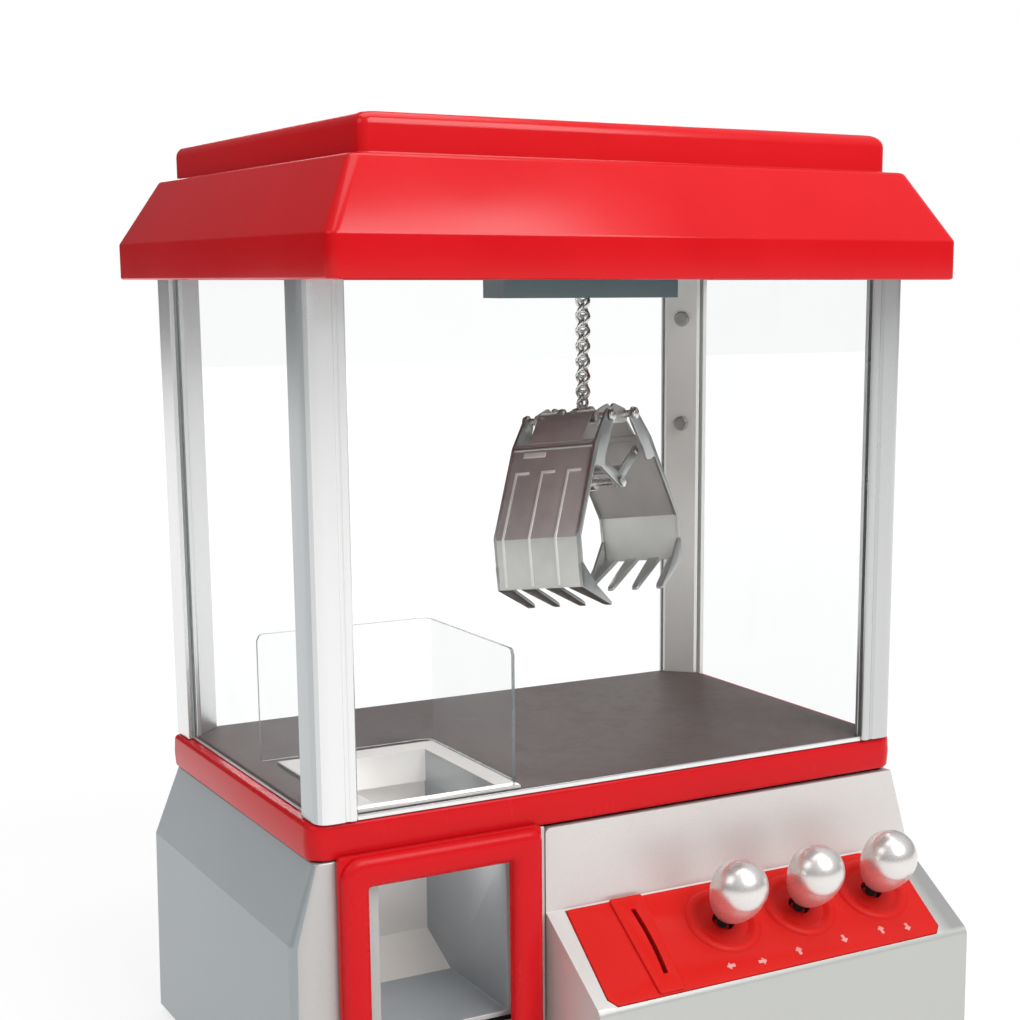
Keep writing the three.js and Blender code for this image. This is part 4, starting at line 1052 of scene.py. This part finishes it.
def tooth(end, inside):
    direction = Vector(TOOTH_REACH).normalized()
    normal = Vector((direction.y, -direction.x))
    rings = []
    for along, half, thickness in TOOTH_STATIONS:
        y = end * ((5.4 + 0.4 * along) if inside else (SHELL_HALF - half))
        root = Vector([start + reach * along for start, reach in zip(TOOTH_ROOT, TOOTH_REACH)])
        x, z = root
        far_x, far_z = x + normal.x * thickness, z + normal.y * thickness
        rings.append([(x, y - half, z), (x, y + half, z),
                      (far_x, y + half * 0.8, far_z), (far_x, y - half * 0.8, far_z)])
    return loft(rings)


def ribs(sign):
    """Pressed ribs: a short foot across the plate, then down over the fold."""
    line = fillet([RIB_TOP, FOLD, (53.0, -19.0)], [0, 2.0, 0])
    foot = [RIB_TOP, (35.45, 24.56)]
    parts = []
    for rib_y in RIB_YS:
        y = -sign * rib_y
        parts.append(raised(line, 0.45, 0.3, y - 0.5, y + 0.5))
        parts.append(raised(foot, 0.45, 0.3, *sorted((y + sign * 5.7, y - sign * 0.5))))
    return merge(*parts)


def claw_half(side, sign):
    matrix = CLAW @ Matrix.Scale(sign, 4, (1, 0, 0))

    def piece(suffix, part, material, **options):
        build(f"claw_{side}_{suffix}", part, material, f"claw_shell_{side}", "claw_zinc",
              matrix=matrix, **options)

    # the outer skin runs from shoulder to lower edge; its two plates meet at the fold
    skin = fillet([(27.2, 36.4), FOLD, LOWER_EDGE], [0, 2.0, 0])
    lining = offset_line(skin, -SKIN)
    fold = len(skin) // 2
    # the upper plate takes the shaded copy of the zinc and the lower plate the lit one: painted
    # shade and light
    piece("upper_plate", strip(skin[:fold + 1], lining[:fold + 1], -SHELL_HALF, SHELL_HALF),
          CLAW_SHADED, replaces=(f"shell_{side}",), bevel=0.18, smooth=40)
    piece("lower_plate", strip(skin[fold:], lining[fold:], -SHELL_HALF, SHELL_HALF),
          CLAW_LIT, bevel=0.18, smooth=40)
    neck = fillet([(13.2, 47.6), (17.2, 45.6), (27.4, 36.6)], [0, 2.0, 0], 4)
    piece("neck", strip(neck, offset_line(neck, -SKIN), -NECK_HALF, NECK_HALF), CLAW_SHADED,
          bevel=0.15, smooth=40)
    piece("knuckle", knuckle(), CLAW_LIT, smooth=50)
    piece("flanges", end_sheets(fillet(FLANGE_OUTLINE, FLANGE_CORNERS, 4, closed=True)),
          CLAW_MID, bevel=0.2, smooth=40)
    # these run into the outer teeth
    piece("gussets", end_sheets(fillet(GUSSET_OUTLINE, GUSSET_CORNERS, 3, closed=True)),
          CLAW_MID, bevel=0.15, smooth=40)
    teeth = [tooth(1, False), tooth(1, True), tooth(-1, True), tooth(-1, False)]
    piece("teeth", merge(*teeth), CLAW_MID, bevel=0.3, smooth=45)
    # the pressed ribs and slot bar take the brightest copy of the zinc: a painted highlight
    piece("ribs", ribs(sign), CLAW_RIB_HIGHLIGHT, bevel=0.12, smooth=45)
    piece("slot_bar", raised([(29.6, 33.0), (31.0, 31.0)], 0.35, 0.2, 3.0, 13.0), CLAW_RIB_HIGHLIGHT,
          bevel=0.15)
    piece("stiffener", y_bar(28.4, 34.2, SHELL_HALF, 0.9, 14), CLAW_MID)

    hinge = f"hinge_bar_{side}"
    rod = merge(y_bar(HINGE_X, HINGE_Z, 19.1, PIN_RADIUS, 24),
                *pin_heads(HINGE_HEAD, 28, HINGE_X, 19.0, HINGE_Z))
    build(hinge + "_rod", rod, STEEL, "claw", "bright_steel", (hinge,), matrix=matrix,
          smooth=50)


claw_half("right", 1)
claw_half("left", -1)

# ------------------------------------------------------------------ claw head
CHEEK_OUTLINE = [(-15.6, 43.2), (-13.0, 42.0), (13.0, 42.0), (15.6, 43.2), (15.0, 47.6),
                 (3.4, 50.4), (0, 48.6), (-3.4, 50.4), (-15.0, 47.6)]
CHEEK_CORNERS = [1.8, 1.5, 1.5, 1.8, 2.2, 1.6, 2.0, 1.6, 2.2]
SWIVEL_PROFILE = [(0, 47.0), (4.4, 47.0), (4.4, 48.6), (3.6, 49.4), (2.0, 49.8), (0, 49.8)]
STUD_PROFILE = [(0, 47.0), (1.7, 47.0), (1.9, 48.6), (1.4, 49.6), (0, 50.0)]

cheek = fillet(CHEEK_OUTLINE, CHEEK_CORNERS, 4, closed=True)
build("claw_cheeks", merge(along_y(cheek, -14.4, -12.9), along_y(cheek, 12.9, 14.4)),
      CLAW_LIT, "claw", "claw_zinc", ("claw_head",), matrix=CLAW, bevel=0.25)
build("claw_bridge", box(-6.4, 6.4, -13.2, 13.2, 43.8, 47.4), CLAW_SHADED, "claw", "claw_zinc",
      matrix=CLAW, bevel=0.6, steps=3)
build("claw_swivel_boss", lathe(SWIVEL_PROFILE, 32), STEEL, "claw", "claw_zinc", matrix=CLAW)
for number, y in ((1, -6.5), (2, 6.5)):
    build(f"claw_stud_{number}", lathe(STUD_PROFILE, 24), CLAW_MID, "claw", "claw_zinc",
          matrix=CLAW @ Matrix.Translation((-4.0, y, 0)))
head_top = CLAW @ Vector((0, 0, 49.6))
eye_path = [(2.1 * math.cos(2 * math.pi * i / 24), 0, 2.3 * math.sin(2 * math.pi * i / 24))
            for i in range(24)]
build("claw_eye", sweep(eye_path, circle(0.62, 10), closed=True), CHAIN, "claw", "claw_zinc",
      matrix=Matrix.Translation((head_top.x, head_top.y, head_top.z + 1.4))
      @ Matrix.Rotation(0.6, 4, "Z"), smooth=70)

# ------------------------------------------------------------------ toggles and collar
KNEE_X, KNEE_Z = 22.6, 29.6
COLLAR_Z = 18.0             # the toggles meet on the claw's axis at this height
TOGGLE_THICKNESS = 1.2
RIVET_HEAD = [(0, 0), (1.5, 0), (1.5, 0.3), (1.1, 0.7), (0, 0.85)]
COLLAR_HEAD = [(0, 0), (2.0, 0), (2.5, 0.3), (2.5, 0.8), (1.6, 1.3), (0, 1.4)]


def toggle(side, sign, inner_y):
    """Two round-ended bars joined by a rung, with rivet heads at the knee."""
    reach = Vector((KNEE_X, KNEE_Z - COLLAR_Z))
    length = reach.length
    along = reach / length
    across = Vector((-along.y, along.x))
    outline = []
    # start angle, distance from the collar, end radius
    for start, distance, radius in ((math.pi / 2, 0.0, 2.6), (-math.pi / 2, length, 2.2)):
        for i in range(13):
            angle = start + math.pi * i / 12
            point = (along * (distance + radius * math.cos(angle))
                     + across * (radius * math.sin(angle)))
            outline.append((sign * point.x, COLLAR_Z + point.y))
    rung = along * 11
    outer_y = inner_y + TOGGLE_THICKNESS
    bars = merge(along_y(outline, -outer_y, -inner_y), along_y(outline, inner_y, outer_y),
                 y_bar(sign * rung.x, COLLAR_Z + rung.y, inner_y + 0.6, 1.3, 16))
    body = f"claw_toggle_{side}"
    build(f"toggle_{side}_bars", bars, CLAW_MID, body, "claw_zinc", (f"toggle_{side}",),
          matrix=CLAW, bevel=0.22, smooth=45)
    rivets = pin_heads(RIVET_HEAD, 20, sign * KNEE_X, outer_y, KNEE_Z)
    build(f"toggle_{side}_rivets", merge(*rivets), STEEL, body, "bright_steel", matrix=CLAW)


toggle("left", -1, inner_y=14.6)
toggle("right", 1, inner_y=12.9)
collar = merge(y_bar(0, COLLAR_Z, 16.4, PIN_RADIUS, 20), y_bar(0, COLLAR_Z, 4.4, 3.3, 28),
               *pin_heads(COLLAR_HEAD, 28, 0, 16.2, COLLAR_Z))
build("collar_pin", collar, STEEL, "claw_collar", "bright_steel", ("toggle_pin",),
      matrix=CLAW, smooth=45)


# ------------------------------------------------------------------ floor
def floor_material():
    """Pale floor that glows more with distance, up to a full glow."""
    shader = new_material("floor_pale")
    distance = shader.node("VectorMath", {0: shader.coords.outputs["Object"]},
                           operation="LENGTH").outputs["Value"]
    far = shader.ramp(distance, span=(0.45, 1.6))
    matt = shader.node("BsdfDiffuse", {"Color": (0.86, 0.86, 0.86, 1)})
    glow = shader.node("Emission", {"Color": (1, 1, 1, 1), "Strength": 1.07})
    amount = shader.math("ADD", shader.math("MULTIPLY", far, 0.3), 0.7)
    return shader.finish(shader.mix_shader(amount, matt, glow))


FLOOR_HALF, FLOOR_Z = 6, -0.0004
floor_mesh = bpy.data.meshes.new("floor")
floor_mesh.from_pydata([(x * FLOOR_HALF, y * FLOOR_HALF, FLOOR_Z)
                        for x, y in ((-1, -1), (1, -1), (1, 1), (-1, 1))], [], [(0, 1, 2, 3)])
floor = bpy.data.objects.new("floor", floor_mesh)
floor_mesh.materials.append(floor_material())
bpy.context.scene.collection.objects.link(floor)


# ------------------------------------------------------------------ world
def studio_world():
    """White to the camera; a banded grey room to everything else."""
    world = bpy.data.worlds.new("studio")
    bpy.context.scene.world = world
    shader = Shader(world, "OutputWorld")
    direction = shader.coords.outputs["Generated"]
    seen = shader.node("Background", {"Color": (1, 1, 1, 1), "Strength": 1.0})
    height = shader.ramp(shader.split(direction)["Z"], span=(-1, 1))
    bands = shader.node("ValToRGB", {"Fac": height})
    stops = bands.color_ramp.elements
    stops[0].position, stops[0].color = 0.0, (0.55, 0.55, 0.55, 1)
    stops[1].position, stops[1].color = 1.0, (0.9, 0.9, 0.92, 1)
    for position, color in ((0.42, (0.5, 0.5, 0.5, 1)), (0.52, (0.2, 0.2, 0.21, 1)),
                            (0.68, (0.6, 0.61, 0.63, 1))):
        stops.new(position).color = color
    # the room is darker behind the machine's left side and lighter at its front right
    toward_back_left = shader.node("VectorMath", {0: direction, 1: (-0.6, 0.8, 0.0)},
                                   operation="DOT_PRODUCT").outputs["Value"]
    strength = shader.ramp(toward_back_left, to=(0.8, 0.26), span=(-0.3, 0.8))
    room = shader.node("Background", {"Color": bands.outputs["Color"], "Strength": strength})
    is_camera = shader.node("LightPath").outputs["Is Camera Ray"]
    shader.finish(shader.mix_shader(is_camera, room, seen))


studio_world()


# ------------------------------------------------------------------ lights
def area_light(name, place, size, power, target=(0, 0, 0.2)):
    """A rectangular light; size is (width, height) in metres."""
    light = bpy.data.lights.new(name, "AREA")
    light.shape = "RECTANGLE"
    light.size, light.size_y = size
    light.energy = power
    ob = bpy.data.objects.new(name, light)
    ob.location = place
    ob.rotation_euler = (Vector(target) - Vector(place)).to_track_quat("-Z", "Y").to_euler()
    bpy.context.scene.collection.objects.link(ob)
    return ob


bay_light = area_light("bay_light", place=(-0.080, -0.0735, 0.1045), size=(0.044, 0.006),
                       power=0.014, target=(-0.078, -0.012, 0.080))
bay_light.visible_camera = False
area_light("key", place=(0.345, -1.236, 1.31), size=(1.0, 1.0), power=19)
area_light("fill_left", place=(-1.27, -0.15, 1.13), size=(0.8, 0.8), power=3.2)
area_light("top", place=(0.0, 0.1, 1.7), size=(1.2, 1.2), power=9)
area_light("rim_back", place=(0.6, 1.5, 0.9), size=(1.0, 0.8), power=6, target=(0, 0, 0.25))

# ------------------------------------------------------------------ camera
CAMERA_YAW, CAMERA_PITCH = math.radians(30.43), math.radians(-10.9)  # from +Y, from level
lens = bpy.data.cameras.new("photo_camera")
lens.sensor_width = 36
lens.lens = 64.07
lens.shift_x, lens.shift_y = -0.0926, 0.1191
lens.clip_start, lens.clip_end = 0.01, 50
camera = bpy.data.objects.new("photo_camera", lens)
camera.location = (-0.3523, -0.6647, 0.3137)
view = Vector((math.sin(CAMERA_YAW) * math.cos(CAMERA_PITCH),
               math.cos(CAMERA_YAW) * math.cos(CAMERA_PITCH), math.sin(CAMERA_PITCH)))
camera.rotation_euler = view.to_track_quat("-Z", "Y").to_euler()
scene = bpy.context.scene
scene.collection.objects.link(camera)
scene.camera = camera
scene.view_settings.view_transform = "Standard"
scene.view_settings.look = "None"
